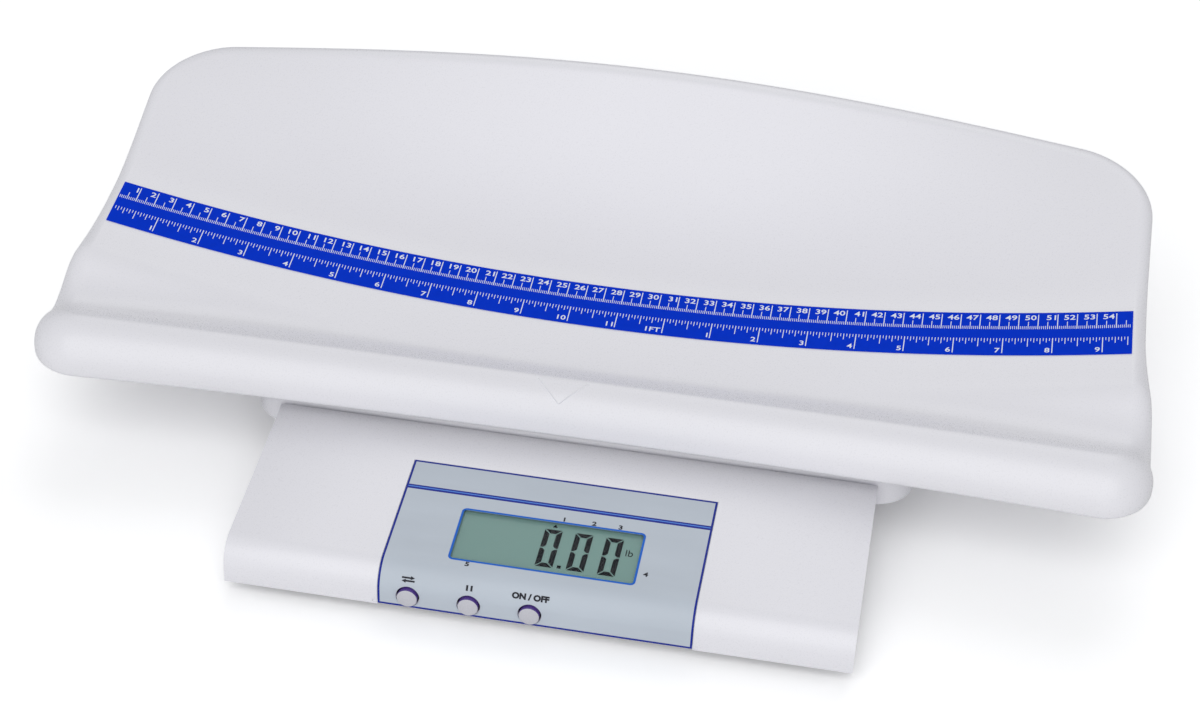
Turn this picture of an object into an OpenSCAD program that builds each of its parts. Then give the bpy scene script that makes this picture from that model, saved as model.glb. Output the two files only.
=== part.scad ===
// Digital baby weighing scale: a cradle tray on a load-cell platform, over a
// low base whose front carries a sloped display console with three buttons.
// Millimetres, +Z up, +Y towards the back. The origin is on the table, under
// the middle of the whole object.

/* [Tray] */
// Length of the tray along its crest line, left to right
tray_l = 545; // [545:1:560]
// Depth of the tray between its front and rear crest lines
tray_d = 205; // [198:1:212]
// Wall thickness of the tray
tray_t = 3; // [2.4:0.1:3.4]
// Height of the tray floor above the table, at the tape in the middle
floor_h = 57; // [55:0.5:63]
// Radius of the cradle curve along the tray
cradle_r = 1350; // [1200:10:1700]
// Height of the front lip above the floor
lip_rise = 13; // [10:0.5:16]
// Depth of the hollow behind the front lip, below the floor at the tape
floor_dip = 2.2; // [1.5:0.1:2.8]
// Height of the middle of the rear rim above the floor
rear_rise = 80.2; // [70:0.2:88]
// Height that the rear rim loses at its two ends
rear_fall = 20.5; // [16:0.1:26]
// Steepest slope of the rear wall, in degrees
wall_slope = 46; // [40:1:50]
// Roll radius of the front lip
roll_front = 19; // [16:0.5:20]
// Roll radius that the front lip gains towards its two ends
roll_flare = 2; // [0:0.5:3]
// Roll radius of the two ends near the front corners
roll_corner = 14.5; // [12:0.5:16]
// Roll radius of the rear rim and of the rear half of the two ends
roll_end = 7.6; // [7:0.1:10]
// Height of the upright skirt below the roll
skirt_h = 4; // [3:0.5:7]
// Corner radius of the crest line at the front
corner_front = 12; // [8:1:16]
// Corner radius of the crest line at the rear
corner_rear = 33; // [24:1:38]
// How far the front edge bows forward at its ends
bow_front = 10; // [4:0.5:11]
// How far the rear edge falls back to the front at its ends
bow_rear = 6; // [0:0.5:8]
// Columns of faces along the tray
tray_cols = 40; // [24:4:44]
// Rows of faces across the hollow, from the front lip to the tape
rows_front = 9; // [6:1:10]
// Rows of faces up the rear wall, from the tape to the rear rim
rows_rear = 9; // [7:1:10]
// Steps in the roll of the rim
roll_steps = 5; // [4:1:6]

/* [Measuring tape] */
// Printed length of the tape, measured along the cradle
tape_l = 548.4; // [500:0.1:548.4]
// Width of the tape
tape_w = 32.3; // [24:0.1:33]
// Thickness of the tape
tape_t = 0.4; // [0.3:0.1:0.8]
// Distance from the front crest line to the near edge of the tape
tape_v = 66; // [60:1:66]
// Rise of the floor across the tape, in degrees
tape_slope = 8.4; // [5:0.1:10]

/* [Platform] */
// Length of the platform cover, left to right
plat_l = 344; // [330:1:356]
// Depth of the platform cover
plat_d = 187.5; // [180:0.5:196]
// Height of the platform cover, skirt and top together
plat_h = 17.5; // [15:0.5:19]
// Corner radius of the platform cover
plat_r = 22; // [16:1:30]
// Rounding of the top edge of the platform cover
plat_edge = 4; // [3:0.5:6]
// Running gap between the console and the platform cover
plat_gap = 2.2; // [1.5:0.1:3]
// Height of the top of the platform cover above the table
plat_top = 42.5; // [42:0.5:44]
// Wall thickness of every moulded cover
wall = 2.5; // [2:0.1:2.8]
// Thickness of the steel platform frame
frame_t = 3; // [2:0.5:3.5]
// Width of the arms of the platform frame
frame_arm = 24; // [20:1:30]
// Diameter of the tray mounts
mount_d = 20; // [16:1:24]
// Spacing of the tray mounts, left to right
mount_x = 230; // [200:5:250]
// Spacing of the tray mounts, front to back
mount_y = 70; // [66:1:76]

/* [Load cell] */
// Length of the load cell bar
cell_l = 130; // [120:1:134]
// Width of the load cell bar
cell_w = 25; // [22:1:28]
// Height of the load cell bar
cell_h = 22; // [20:0.5:23]
// Diameter of the two bores that thin the middle of the bar
cell_bore = 15; // [10:0.5:17]
// Distance between those two bores
cell_pitch = 26; // [22:1:34]
// Distance of the bolts from the end of the bar
cell_bolt_in = 10; // [8:0.5:12]
// Distance between the two bolts at each end
cell_bolt_p = 15; // [12:0.5:16]
// Shank diameter of the load cell bolts
cell_bolt = 5; // [4:0.5:6]
// Travel of the platform under a full load
deflection = 0.3; // [0.2:0.05:0.4]

/* [Base and console] */
// Width of the display console
console_w = 308; // [290:1:320]
// How far the console reaches in front of the tray
console_reach = 99.5; // [90:0.5:110]
// Height of the lower edge of the console above the table
console_foot = 7.5; // [7:0.1:7.8]
// Height of the console's top face where its front round-over starts
console_h = 29.5; // [28:0.5:31]
// Slope of the console's top face, in degrees
console_slope = 6; // [4:0.5:7]
// Radius of the front round-over
console_r = 13; // [10:0.5:14]
// Width of the low deck under the platform
deck_w = 300; // [280:1:304]
// Depth of the low deck under the platform
deck_d = 176; // [160:1:180]
// Height of the deck above the table
deck_h = 29; // [28.5:0.5:30]
// Thickness of the base plate
plate_t = 2.5; // [2:0.1:2.5]
// Height of the underside of the base plate above the table
plate_z = 5.5; // [5:0.1:5.5]
// Diameter of the rubber feet
foot_d = 22; // [16:1:26]

/* [Display and buttons] */
// Width of the overlay panel
label_w = 154; // [140:1:180]
// Length of the overlay panel up the console, from the round-over
label_up = 66.8; // [58:0.2:70]
// Thickness of the overlay panel
label_t = 0.6; // [0.4:0.1:0.8]
// Width of the display window
window_w = 90.4; // [80:0.2:100]
// Length of the display window up the console
window_d = 34; // [28:0.5:36]
// Distance from the start of the round-over to the near edge of the window
window_up = 3.5; // [3.5:0.1:6]
// Diameter of the button caps
cap_d = 10; // [8:0.1:11]
// Distance between the buttons
cap_pitch = 30; // [24:0.5:34]
// Height of the button centres above the table
cap_z = 14.6; // [13:0.1:15]
// Distance of the right-hand button from the middle of the console
cap_right = -2.2; // [-4:0.1:4]
// How far the caps stand out of the console
cap_proud = 2.1; // [1:0.1:2.5]
// Travel of the buttons
cap_travel = 0.6; // [0.4:0.1:0.8]

/* [Batteries] */
// Diameter of a battery
batt_d = 14.5; // [14.5:0.1:14.6]
// Length of a battery
batt_l = 50.5; // [49.5:0.1:50.8]
// Thickness of the battery door
door_t = 2; // [1.6:0.1:2.2]

/* [Fits] */
// Gap between parts that slide in each other
slide_gap = 0.3; // [0.2:0.05:0.4]
// Gap between parts that are seated on each other
seat_gap = 0.15; // [0.1:0.05:0.25]

/* [Hidden] */
$fn = 40;

// Places along Y: the front face of the console and the tray's crest lines
total_d = cap_proud + console_reach + roll_front + tray_d + roll_end;
front_y = cap_proud - total_d/2;
crest_y = front_y + console_reach + roll_front;
half_l = tray_l/2;

// ---------------------------------------------------------------- helpers
function clamp(a, lo, hi) = min(max(a, lo), hi);
// Smooth step from 0 to 1
function ease(t) = let (c = clamp(t, 0, 1)) c*c*(3 - 2*c);
// Cubic from height z0 with slope m0 to height z1 with slope m1 over a run l
function cubic(s, l, z0, m0, z1, m1) =
    (2*s*s*s - 3*s*s + 1)*z0 + (s*s*s - 2*s*s + s)*l*m0
    + (3*s*s - 2*s*s*s)*z1 + (s*s*s - s*s)*l*m1;
// Outline of a rectangle with round corners, centred
function round_rect(l, d, r, n = 6) =
    [for (q = [0:3]) for (i = [0:n]) let (a = q*90 + i*90/n)
        [(q == 0 || q == 3 ? 1 : -1)*(l/2 - r) + r*cos(a),
         (q < 2 ? 1 : -1)*(d/2 - r) + r*sin(a)]];
// Outline of a rectangle from y0 to y1, centred in X
module rect_y(l, y0, y1) translate([-l/2, y0]) square([l, y1 - y0]);
// Box from y0 to y1 and z0 to z1, centred in X
module box_y(l, y0, y1, z0, z1)
    translate([-l/2, y0, z0]) cube([l, y1 - y0, z1 - z0]);
// Upright cylinder from z0 to z1
module post(d, z0, z1) translate([0, 0, z0]) cylinder(d = d, h = z1 - z0);
// Cylinder along Y from y0 to y1
module post_y(d, y0, y1)
    translate([0, y0, 0]) rotate([-90, 0, 0]) cylinder(d = d, h = y1 - y0);
// Screw pointing up: head from z0, shank to z1
module screw_up(head_d, head_h, shank_d, z0, z1) {
    difference() {
        post(head_d, z0, z0 + head_h);
        translate([0, 0, z0 - 1])
            cylinder(d = head_d*0.5, h = 1 + head_h*0.5, $fn = 6);
    }
    post(shank_d, z0 + head_h*0.9, z1);
}

// Closed solid from rings of equal length; caps are the first and last ring
module loft(rings) {
    n = len(rings[0]);
    m = len(rings);
    pts = [for (r = rings) for (p = r) p];
    sides = [for (j = [0:m-2]) for (i = [0:n-1]) let (k = (i + 1)%n)
        each [[j*n + i, (j + 1)*n + i, (j + 1)*n + k],
              [j*n + i, (j + 1)*n + k, j*n + k]]];
    ends = [[for (i = [0:n-1]) i], [for (i = [n-1:-1:0]) (m - 1)*n + i]];
    polyhedron(pts, concat(sides, ends));
}
// Round lead of diameter d through the points of a path
module lead(path, d, n = 8) {
    last = len(path) - 1;
    loft([for (i = [0:last])
        let (t = path[min(i + 1, last)] - path[max(i - 1, 0)],
             s = [-t[1], t[0], 0]/norm([t[0], t[1]]))
        [for (k = [0:n-1]) let (a = 360*k/n)
            path[i] + s*d/2*cos(a) + [0, 0, d/2*sin(a)]]]);
}

// ---------------------------------------------------------------- tray form
// v is the distance back from the front crest line
dip_v = 32;            // deepest line of the hollow behind the lip
level_v = 46;          // from here back the cradle curve is complete
wall_v = tape_v + 33;  // foot of the rear wall
lip_slope = -0.55;     // inner slope of the lip at its crest
crest_share = 0.05;    // share of the cradle curve at the front crest line
arch_power = 2.1;      // how late the rear wall turns into the arch of its rim
shoulder = 6;          // width of the shoulder in front of the rear crest
shoulder_r = 8.5;      // radius of that shoulder
tape_m = tan(tape_slope);
wall_m = tan(wall_slope);

// Height that a shoulder takes off a wall of slope m, d in front of the crest
function shoulder_drop(m, d = 0) =
    m*((shoulder - d) - (sqrt(pow(shoulder_r, 2) - d*d)
                         - sqrt(pow(shoulder_r, 2) - pow(shoulder, 2))));
// Height of the tray's middle line above the table
function mid_z(v) =
    v < dip_v ? cubic(v/dip_v, dip_v, floor_h + lip_rise, lip_slope,
                      floor_h - floor_dip, 0)
    : v < tape_v ? cubic((v - dip_v)/(tape_v - dip_v), tape_v - dip_v,
                         floor_h - floor_dip, 0, floor_h, tape_m)
    : v < wall_v ? floor_h + tape_m*(v - tape_v)
    : cubic((v - wall_v)/(tray_d - wall_v), tray_d - wall_v,
            floor_h + tape_m*(wall_v - tape_v), tape_m,
            floor_h + rear_rise + shoulder_drop(wall_m), wall_m);
// Share of the cradle curve at v; behind the tape it turns into the arch of
// the rear rim, which is lower at its ends
arch_share = 1 + rear_fall*2*cradle_r/pow(half_l, 2);
function cradle_share(v) =
    v < level_v ? crest_share + (1 - crest_share)*ease(v/level_v)
    : v > wall_v ? 1 - arch_share*pow((v - wall_v)/(tray_d - wall_v), arch_power)
    : 1;
function raw_z(x, v) = mid_z(v) + cradle_share(v)*x*x/(2*cradle_r);
// Inset of the crest line through a corner of radius c, and how far its
// normal faces front or back there
function past(x, c) = clamp(abs(x) - (half_l - c), 0, c);
function inset(x, c) = c - sqrt(c*c - pow(past(x, c), 2));
function facing(x, c) = sqrt(max(0, 1 - pow(past(x, c)/c, 2)));
function front_v(x) = inset(x, corner_front) - bow_front*pow(x/half_l, 2);
function rear_v(x) =
    tray_d - inset(x, corner_rear) - bow_rear*pow(x/half_l, 2);
// Height of the tray's upper face
function top_z(x, v) =
    let (d = rear_v(x) - v)
    d > shoulder ? raw_z(x, v)
    : let (e = rear_v(x) - shoulder,
           m = (raw_z(x, e) - raw_z(x, e - 2))/2)
      raw_z(x, v) - pow(facing(x, corner_rear), 2)*shoulder_drop(m, max(d, 0));

// Grid of the upper face: column i, row j; two rows carry the tape
tray_rows = rows_front + 2 + rows_rear;
function col_x(i) = half_l*sin(180*i/tray_cols - 90);
function row_v(x, j) =
    j <= rows_front ? front_v(x)
        + (tape_v - front_v(x))*(1 - cos(130*j/rows_front))/(1 - cos(130))
    : j < tray_rows - rows_rear ? (tape_v + wall_v)/2
    : wall_v + (rear_v(x) - wall_v)
        *sin(90*(j - tray_rows + rows_rear)/rows_rear);
function grid(i, j) = let (x = col_x(i), v = row_v(x, j))
    [x, crest_y + v, top_z(x, v)];
// Crest line: k runs along the front, up the right end, back and down again
crest_n = 2*(tray_cols + tray_rows);
function crest_ij(k) =
    k < tray_cols ? [k, 0]
    : k < tray_cols + tray_rows ? [tray_cols, k - tray_cols]
    : k < 2*tray_cols + tray_rows ? [2*tray_cols + tray_rows - k, tray_rows]
    : [0, crest_n - k];
// Outward direction at a crest point
function outward(ij) =
    let (x = col_x(ij[0]), s = x < 0 ? -1 : 1,
         f = ij[1] == 0 ? -facing(x, corner_front)
             : ij[1] == tray_rows ? facing(x, corner_rear) : 0)
    [s*sqrt(max(0, 1 - f*f)), f];
// Roll radius, which widens towards the front corners
flare_v = 86;
flare_run = 70;
function roll_r(x, v, f) =
    roll_end + (roll_corner - roll_end)*ease((flare_v - v)/flare_run)
    + (roll_front + roll_flare*pow(x/half_l, 2) - roll_corner)*max(0, -f);
// Point on the roll at angle a, on a surface that lies t inside the outer one
function roll_point(k, a, t, drop) =
    let (ij = crest_ij(k), g = grid(ij[0], ij[1]), n = outward(ij),
         r = roll_r(g[0], g[1] - crest_y, n[1]))
    [g[0] + n[0]*(r - t)*sin(a), g[1] + n[1]*(r - t)*sin(a),
     g[2] - t - (r - t)*(1 - cos(a)) - drop];

// Moulded cradle tray: curved floor, raised rear wall, rolled rim and skirt
module tray() {
    nc = tray_cols + 1;
    top = [for (j = [0:tray_rows]) for (i = [0:tray_cols]) grid(i, j)];
    under = [for (p = top) p - [0, 0, tray_t]];
    steps = [for (s = [1:roll_steps]) [90*s/roll_steps, 0], [90, skirt_h]];
    rolls = [for (t = [0, tray_t]) for (s = steps)
        for (k = [0:crest_n-1]) roll_point(k, s[0], t, s[1])];
    n_top = len(top);
    n_ring = len(steps);
    // index of crest point k on ring s of the outer (side 0) or inner face
    function at(side, s, k) = let (ij = crest_ij(k%crest_n))
        s == 0 ? side*n_top + ij[1]*nc + ij[0]
        : 2*n_top + (side*n_ring + s - 1)*crest_n + k%crest_n;
    cells = [for (j = [0:tray_rows-1]) for (i = [0:tray_cols-1])
        let (a = j*nc + i, b = a + 1, c = a + nc, d = c + 1)
        each [[a, c, d], [a, d, b], [n_top + a, n_top + d, n_top + c],
              [n_top + a, n_top + b, n_top + d]]];
    bands = [for (s = [0:n_ring-1]) for (k = [0:crest_n-1])
        let (a = at(0, s, k), b = at(0, s, k + 1),
             c = at(0, s + 1, k), d = at(0, s + 1, k + 1),
             e = at(1, s, k), f = at(1, s, k + 1),
             g = at(1, s + 1, k), h = at(1, s + 1, k + 1))
        each [[a, b, d], [a, d, c], [e, h, f], [e, g, h]]];
    edge = [for (k = [0:crest_n-1])
        let (a = at(0, n_ring, k), b = at(0, n_ring, k + 1),
             c = at(1, n_ring, k), d = at(1, n_ring, k + 1))
        each [[a, b, d], [a, d, c]]];
    color([0.93, 0.93, 0.95])
        polyhedron(concat(top, under, rolls), concat(cells, bands, edge));
}

// Printed strip that follows the cradle, laid on the tray floor
module measuring_tape() {
    end_x = cradle_r*sin(tape_l/2/cradle_r*180/PI);
    xs = [-end_x, for (i = [1:tray_cols-1])
              if (abs(col_x(i)) < end_x - 1) col_x(i), end_x];
    v1 = tape_v + tape_w;
    color([0.02, 0.2, 0.78]) loft([for (x = xs)
        let (z0 = top_z(x, tape_v) + seat_gap, z1 = top_z(x, v1) + seat_gap)
        [[x, crest_y + tape_v, z0], [x, crest_y + v1, z1],
         [x, crest_y + v1, z1 + tape_t], [x, crest_y + tape_v, z0 + tape_t]]]);
}

// ---------------------------------------------------------------- platform
lip_back = 8;          // platform behind the front edge of the tray
plat_front = front_y + console_reach + lip_back;
plat_mid = plat_front + plat_d/2;
frame_top = plat_top - wall - seat_gap;
frame_bottom = frame_top - frame_t;
m4 = 4;                // shank of the tray screws
m4_head = 7.5;
m4_head_h = 2.2;
hole_fit = 0.5;        // added to a shank for its clearance hole
thread_fit = 0.3;      // added to a shank for the hole it is screwed into
tray_bite = 8;         // length of the tray screws inside the mounts

module at_mounts() for (sx = [-1, 1]) for (sy = [-1, 1])
    translate([sx*mount_x/2, plat_mid + sy*mount_y/2]) children();

// Posts under the tray, each with a slanted top that follows its underside
module tray_mounts() color([0.9, 0.9, 0.92])
    for (sx = [-1, 1]) for (sy = [-1, 1])
        let (x = sx*mount_x/2, y = plat_mid + sy*mount_y/2, v = y - crest_y,
             h = mount_d/2,
             mx = (top_z(x + h, v) - top_z(x - h, v))/(2*h),
             mv = (top_z(x, v + h) - top_z(x, v - h))/(2*h),
             z = top_z(x, v) - tray_t - seat_gap)
        translate([x, y, 0]) difference() {
            post(mount_d, plat_top + seat_gap, z + mount_d);
            translate([0, 0, z]) rotate([atan(mv), -atan(mx), 0])
                translate([-mount_d, -mount_d, 0])
                    cube([2*mount_d, 2*mount_d, 2*mount_d]);
            post(m4 + thread_fit, plat_top, plat_top + tray_bite + 1);
        }

module tray_screws() color([0.7, 0.71, 0.73]) at_mounts()
    screw_up(m4_head, m4_head_h, m4, frame_bottom - seat_gap - m4_head_h,
             plat_top + tray_bite);

// Moulded cover: a rounded top with a skirt that hangs over the deck
module platform_cover() {
    steps = 4;
    function ring(inset, z) = [for (p = round_rect(plat_l - 2*inset,
        plat_d - 2*inset, plat_r - inset)) [p[0], p[1] + plat_mid, z]];
    low = plat_top - plat_h;
    color([0.93, 0.93, 0.95]) difference() {
        loft([ring(wall, plat_top - wall), ring(wall, low), ring(0, low),
            for (s = [0:steps]) let (a = 90*s/steps)
                ring(plat_edge*(1 - cos(a)), plat_top - plat_edge*(1 - sin(a)))]);
        at_mounts() post(m4 + hole_fit, low, plat_top + 1);
    }
}

// Steel frame: two cross arms joined over the load cell
module platform_frame() {
    arm_l = mount_y + frame_arm + 20;
    color([0.62, 0.63, 0.65]) translate([0, 0, frame_bottom])
        linear_extrude(frame_t) difference() {
            union() {
                translate([0, plat_mid])
                    square([mount_x, 1.6*frame_arm], center = true);
                for (s = [-1, 1]) translate([s*mount_x/2, plat_mid])
                    polygon(round_rect(frame_arm, arm_l, frame_arm/3));
            }
            at_mounts() circle(d = m4 + hole_fit);
            at_cell_bolts(1) circle(d = cell_bolt + hole_fit);
        }
}

// ---------------------------------------------------------------- load cell
spacer_l = 2*cell_bolt_in + 6;
spacer_t = 2.6;
cell_slot = 5;         // height of the slot between the two bores
gauge_l = 12;
gauge_w = 14;
gauge_t = 1;
cell_z = plate_z + plate_t + spacer_t + 2*seat_gap;
cell_top = cell_z + cell_h;
top_gap = deflection + slide_gap;
cell_screw_in = 9;     // length of the bolts inside the bar
bolt_head = 8.5;
bolt_head_h = 2.4;
stud_d = 4;            // of the overload stops, through the deck
stop_d = 9;

// The two bolt places at the fixed end (-1) or the free end (1) of the bar
module at_cell_bolts(s) for (q = [-1, 1])
    translate([s*(cell_l/2 - cell_bolt_in), plat_mid + q*cell_bolt_p/2])
        children();
// Block over the bolts of one end
module cell_spacer(s, z0, z1) difference() {
    translate([s*(cell_l/2 - spacer_l/2), plat_mid, z0])
        linear_extrude(z1 - z0) square([spacer_l, cell_w], center = true);
    at_cell_bolts(s) post(cell_bolt + hole_fit, z0 - 1, z1 + 1);
}

// Aluminium bar, thinned by two bores that are joined by a slot
module load_cell() color([0.78, 0.79, 0.8]) difference() {
    translate([-cell_l/2, plat_mid - cell_w/2, cell_z])
        cube([cell_l, cell_w, cell_h]);
    for (s = [-1, 1]) translate([s*cell_pitch/2, plat_mid, cell_z + cell_h/2])
        post_y(cell_bore, -cell_w, cell_w);
    translate([-cell_pitch/2, plat_mid - cell_w, cell_z + (cell_h - cell_slot)/2])
        cube([cell_pitch, 2*cell_w, cell_slot]);
    at_cell_bolts(-1) post(cell_bolt + thread_fit, cell_z - 1,
                           cell_z + cell_screw_in + 2);
    at_cell_bolts(1) post(cell_bolt + thread_fit,
                          cell_top - cell_screw_in - 2, cell_top + 1);
}

// Sealed foil gauges over the thin places of the bar
module strain_gauges() color([0.9, 0.9, 0.86])
    for (s = [-1, 1])
        for (z = [cell_top + seat_gap/2, cell_z - seat_gap/2 - gauge_t])
            translate([s*cell_pitch/2 - gauge_l/2, plat_mid - gauge_w/2, z])
                cube([gauge_l, gauge_w, gauge_t]);

module cell_spacer_bottom() color([0.62, 0.63, 0.65])
    cell_spacer(-1, plate_z + plate_t + seat_gap, cell_z - seat_gap);
module cell_spacer_top() color([0.62, 0.63, 0.65])
    cell_spacer(1, cell_top + top_gap, frame_bottom - seat_gap);

module cell_bolts_bottom() color([0.35, 0.36, 0.38]) at_cell_bolts(-1)
    screw_up(bolt_head, bolt_head_h, cell_bolt,
             plate_z - seat_gap - bolt_head_h, cell_z + cell_screw_in);
// Countersunk bolts from the frame down into the free end
module cell_bolts_top() color([0.35, 0.36, 0.38]) at_cell_bolts(1)
    post(cell_bolt, cell_top - cell_screw_in + top_gap, frame_top - seat_gap);

// Studs on the deck that stop the frame when the scale is overloaded
module overload_stops() color([0.7, 0.71, 0.73]) at_stops() {
    post(stop_d, deck_h + seat_gap, frame_bottom - top_gap);
    post(stud_d, deck_h - wall - 3, deck_h + 1);
}
module at_stops() for (sx = [-1, 1]) for (sy = [-1, 1])
    translate([sx*mount_x/2, plat_mid + sy*mount_y/4]) children();

// ---------------------------------------------------------------- console
// Places on the console: u runs up its sloped top face from the round-over
arc_y = front_y + console_r;
arc_z = console_h - console_r*cos(console_slope);
slope_y = arc_y - console_r*sin(console_slope);
console_back = plat_front - plat_gap;
label_low = 8.2;
notch_w = 2.6;         // relief beside each lower corner of the overlay
notch_h = 2;
cap_gap = 0.7;
label_hole = cap_d + 2*cap_gap + 0.4;

function slope_z(y) = console_h + (y - slope_y)*tan(console_slope);
// Solid of length l under the console's surface and i inside it, from height
// low to place up; its round-over is a true cylinder
module under_skin(l, i, low, up) {
    end_y = slope_y + up*cos(console_slope);
    difference() {
        union() {
            rotate([90, 0, 90]) linear_extrude(l, center = true)
                polygon([[front_y + i, low], [front_y + i, arc_z], [arc_y, arc_z],
                    [slope_y + i*sin(console_slope),
                     console_h - i*cos(console_slope)],
                    [end_y, slope_z(end_y) - i/cos(console_slope)], [end_y, low]]);
            translate([-l/2, arc_y, arc_z]) rotate([0, 90, 0])
                cylinder(r = console_r - i, h = l);
        }
        box_y(l + 2, arc_y - 2*console_r, arc_y + 2*console_r,
              low - 2*console_r, low);
    }
}
// Body of the console, i inside its surface, down to z
module console_body(i, z)
    under_skin(console_w - 2*i, i, z,
               (console_back - i - slope_y)/cos(console_slope));
// Skin over the front of the console between two depths
module console_skin(l, i0, i1, low, up) difference() {
    under_skin(l, i0, low, up);
    under_skin(l + 2, i1, low - 1, up + 1);
}
module on_slope() translate([0, slope_y, console_h])
    rotate([console_slope, 0, 0]) children();
// Plate in the slope's own places: width l, from u0 to u1 and w0 to w1
module slope_box(l, u0, u1, w0, w1) on_slope() box_y(l, u0, u1, w0, w1);
module at_buttons() for (i = [0:2]) translate([cap_x(i), 0, cap_z]) children();
function cap_x(i) = cap_right - (2 - i)*cap_pitch;

window_mid = window_up + window_d/2;
window_t = 0.8;
glass_rim = 2;         // of the window and the display, behind the overlay
lcd_l = window_w + 2*glass_rim;
lcd_d = window_d + 2*glass_rim;
lcd_t = 2.8;
window_w0 = -label_t - seat_gap;
lcd_w0 = window_w0 - window_t - seat_gap;
holder_wall = 1.8;
holder_lip = 6;        // width of the holder's rim behind the display
holder_w0 = -wall - seat_gap;
holder_w1 = lcd_w0 - lcd_t - seat_gap - 1.4;
holder_leg = 3.5;
board_l = label_w - 8;
board_u0 = 4.5;
board_u1 = label_up - 1;
board_w0 = -12;
board_t = 1.6;
neck_gap = 3;          // between the neck of the deck and the cover's skirt
neck_h = plat_top - plat_h - neck_gap;
deck_in = 6;           // deck behind the front of the platform
deck_y0 = plat_front + deck_in;
deck_y1 = deck_y0 + deck_d;
cell_room = 4;
boss_d = 8;
boss_in = 13;          // boss axes behind the outer side faces
boss_front = 22;       // front bosses behind the console's front face
boss_back = 14;        // rear bosses of the console, and front ones of the deck
m3 = 3;
m3_head = 6;
m3_head_h = 1.8;
m3_bite = 8;           // length of the housing screws inside their bosses
m2 = 2;
m2_head = 4;
m2_head_h = 1.4;
m2_bite = 5;
board_hole = 5;        // holes for the board screws, from the board's edges

// Bosses for the housing screws: places and the height of the wall above
bosses = [for (s = [-1, 1]) each [
    [s*(console_w/2 - boss_in), front_y + boss_front, slope_z(front_y + boss_front)],
    [s*(console_w/2 - boss_in), console_back - boss_back,
     slope_z(console_back - boss_back)],
    [s*(deck_w/2 - boss_in), deck_y0 + boss_back, deck_h],
    [s*(deck_w/2 - boss_in), deck_y1 - boss_in, deck_h]]];
module at_board_screws() on_slope() for (s = [-1, 1])
    for (u = [board_u0 + board_hole, board_u1 - board_hole])
        translate([s*(board_l/2 - board_hole), u]) children();

// Moulded housing: the display console and the low deck behind it
module upper_housing() color([0.93, 0.93, 0.95]) {
    difference() {
        union() {
            console_body(0, console_foot);
            box_y(deck_w, console_back - 1, deck_y0 + 1, console_foot, neck_h);
            box_y(deck_w, deck_y0, deck_y1, console_foot, deck_h);
        }
        console_body(wall, 0);
        box_y(deck_w - 2*wall, console_back - wall - 1, deck_y0 + wall + 1,
              0, neck_h - wall);
        box_y(deck_w - 2*wall, deck_y0 + wall, deck_y1 - wall, 0, deck_h - wall);
        box_y(cell_l + 2*cell_room, plat_mid - cell_w/2 - cell_room,
              plat_mid + cell_w/2 + cell_room, deck_h - wall - 1, deck_h + 1);
        at_stops() post(stud_d + hole_fit, deck_h - wall - 1, deck_h + 1);
        console_skin(label_w + 2*slide_gap, -1, label_t + seat_gap,
                     0, label_up + slide_gap);
        slope_box(lcd_l + 2*slide_gap, window_mid - lcd_d/2 - slide_gap,
                  window_mid + lcd_d/2 + slide_gap, -wall - 1, 1);
        for (s = [-1, 1]) translate([s*(label_w/2 + notch_w/2), 0, 0])
            box_y(notch_w, front_y - 1, front_y + label_t + seat_gap,
                  label_low, label_low + notch_h);
        at_buttons() post_y(cap_d + 2*cap_gap, front_y - 1, front_y + 2*wall);
        box_y(door_l + 2*door_lip + 4*slide_gap, deck_y1 - wall - 1,
              deck_y1 + 1, 0, door_z1 + slide_gap);
    }
    for (b = bosses) translate([b[0], b[1], 0]) difference() {
        post(boss_d, plate_z + plate_t + seat_gap, b[2] - wall + 0.6);
        post(m3 + thread_fit, 0, plate_z + plate_t + m3_bite + 2);
    }
    at_board_screws() difference() {
        post(3*m2, board_w0 + seat_gap, 0.4 - wall);
        post(m2 + thread_fit, board_w0 - 1, board_w0 + m2_bite + 1);
    }
}

// Printed overlay, bent over the round front edge of the console
module overlay_panel() color([0.75, 0.79, 0.82]) difference() {
    console_skin(label_w, 0, label_t, label_low, label_up);
    slope_box(window_w, window_up, window_up + window_d, -wall, wall);
    at_buttons() post_y(label_hole, front_y - 1, front_y + wall);
}

module display_window() color([0.7, 0.8, 0.8, 0.4])
    slope_box(lcd_l, window_mid - lcd_d/2, window_mid + lcd_d/2,
              window_w0 - window_t, window_w0);
module lcd_panel() color([0.47, 0.58, 0.55])
    slope_box(lcd_l, window_mid - lcd_d/2, window_mid + lcd_d/2,
              lcd_w0 - lcd_t, lcd_w0);
// Frame that holds the display glass against the housing, on four legs
module lcd_holder() color([0.85, 0.86, 0.86]) {
    out = slide_gap + holder_wall;
    difference() {
        slope_box(lcd_l + 2*out, window_mid - lcd_d/2 - out,
                  window_mid + lcd_d/2 + out, holder_w1, holder_w0);
        slope_box(lcd_l + 2*slide_gap, window_mid - lcd_d/2 - slide_gap,
                  window_mid + lcd_d/2 + slide_gap,
                  lcd_w0 - lcd_t - seat_gap, 0);
        slope_box(lcd_l - 2*holder_lip, window_mid - lcd_d/2 + holder_lip,
                  window_mid + lcd_d/2 - holder_lip, holder_w1 - 1, 0);
    }
    on_slope() for (s = [-1, 1]) for (q = [-1, 1])
        translate([s*(lcd_l/2 - holder_leg/2),
                   window_mid + q*(lcd_d/2 - holder_leg)])
            post(holder_leg, board_w0 + seat_gap, holder_w1 + 0.5);
}

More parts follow.
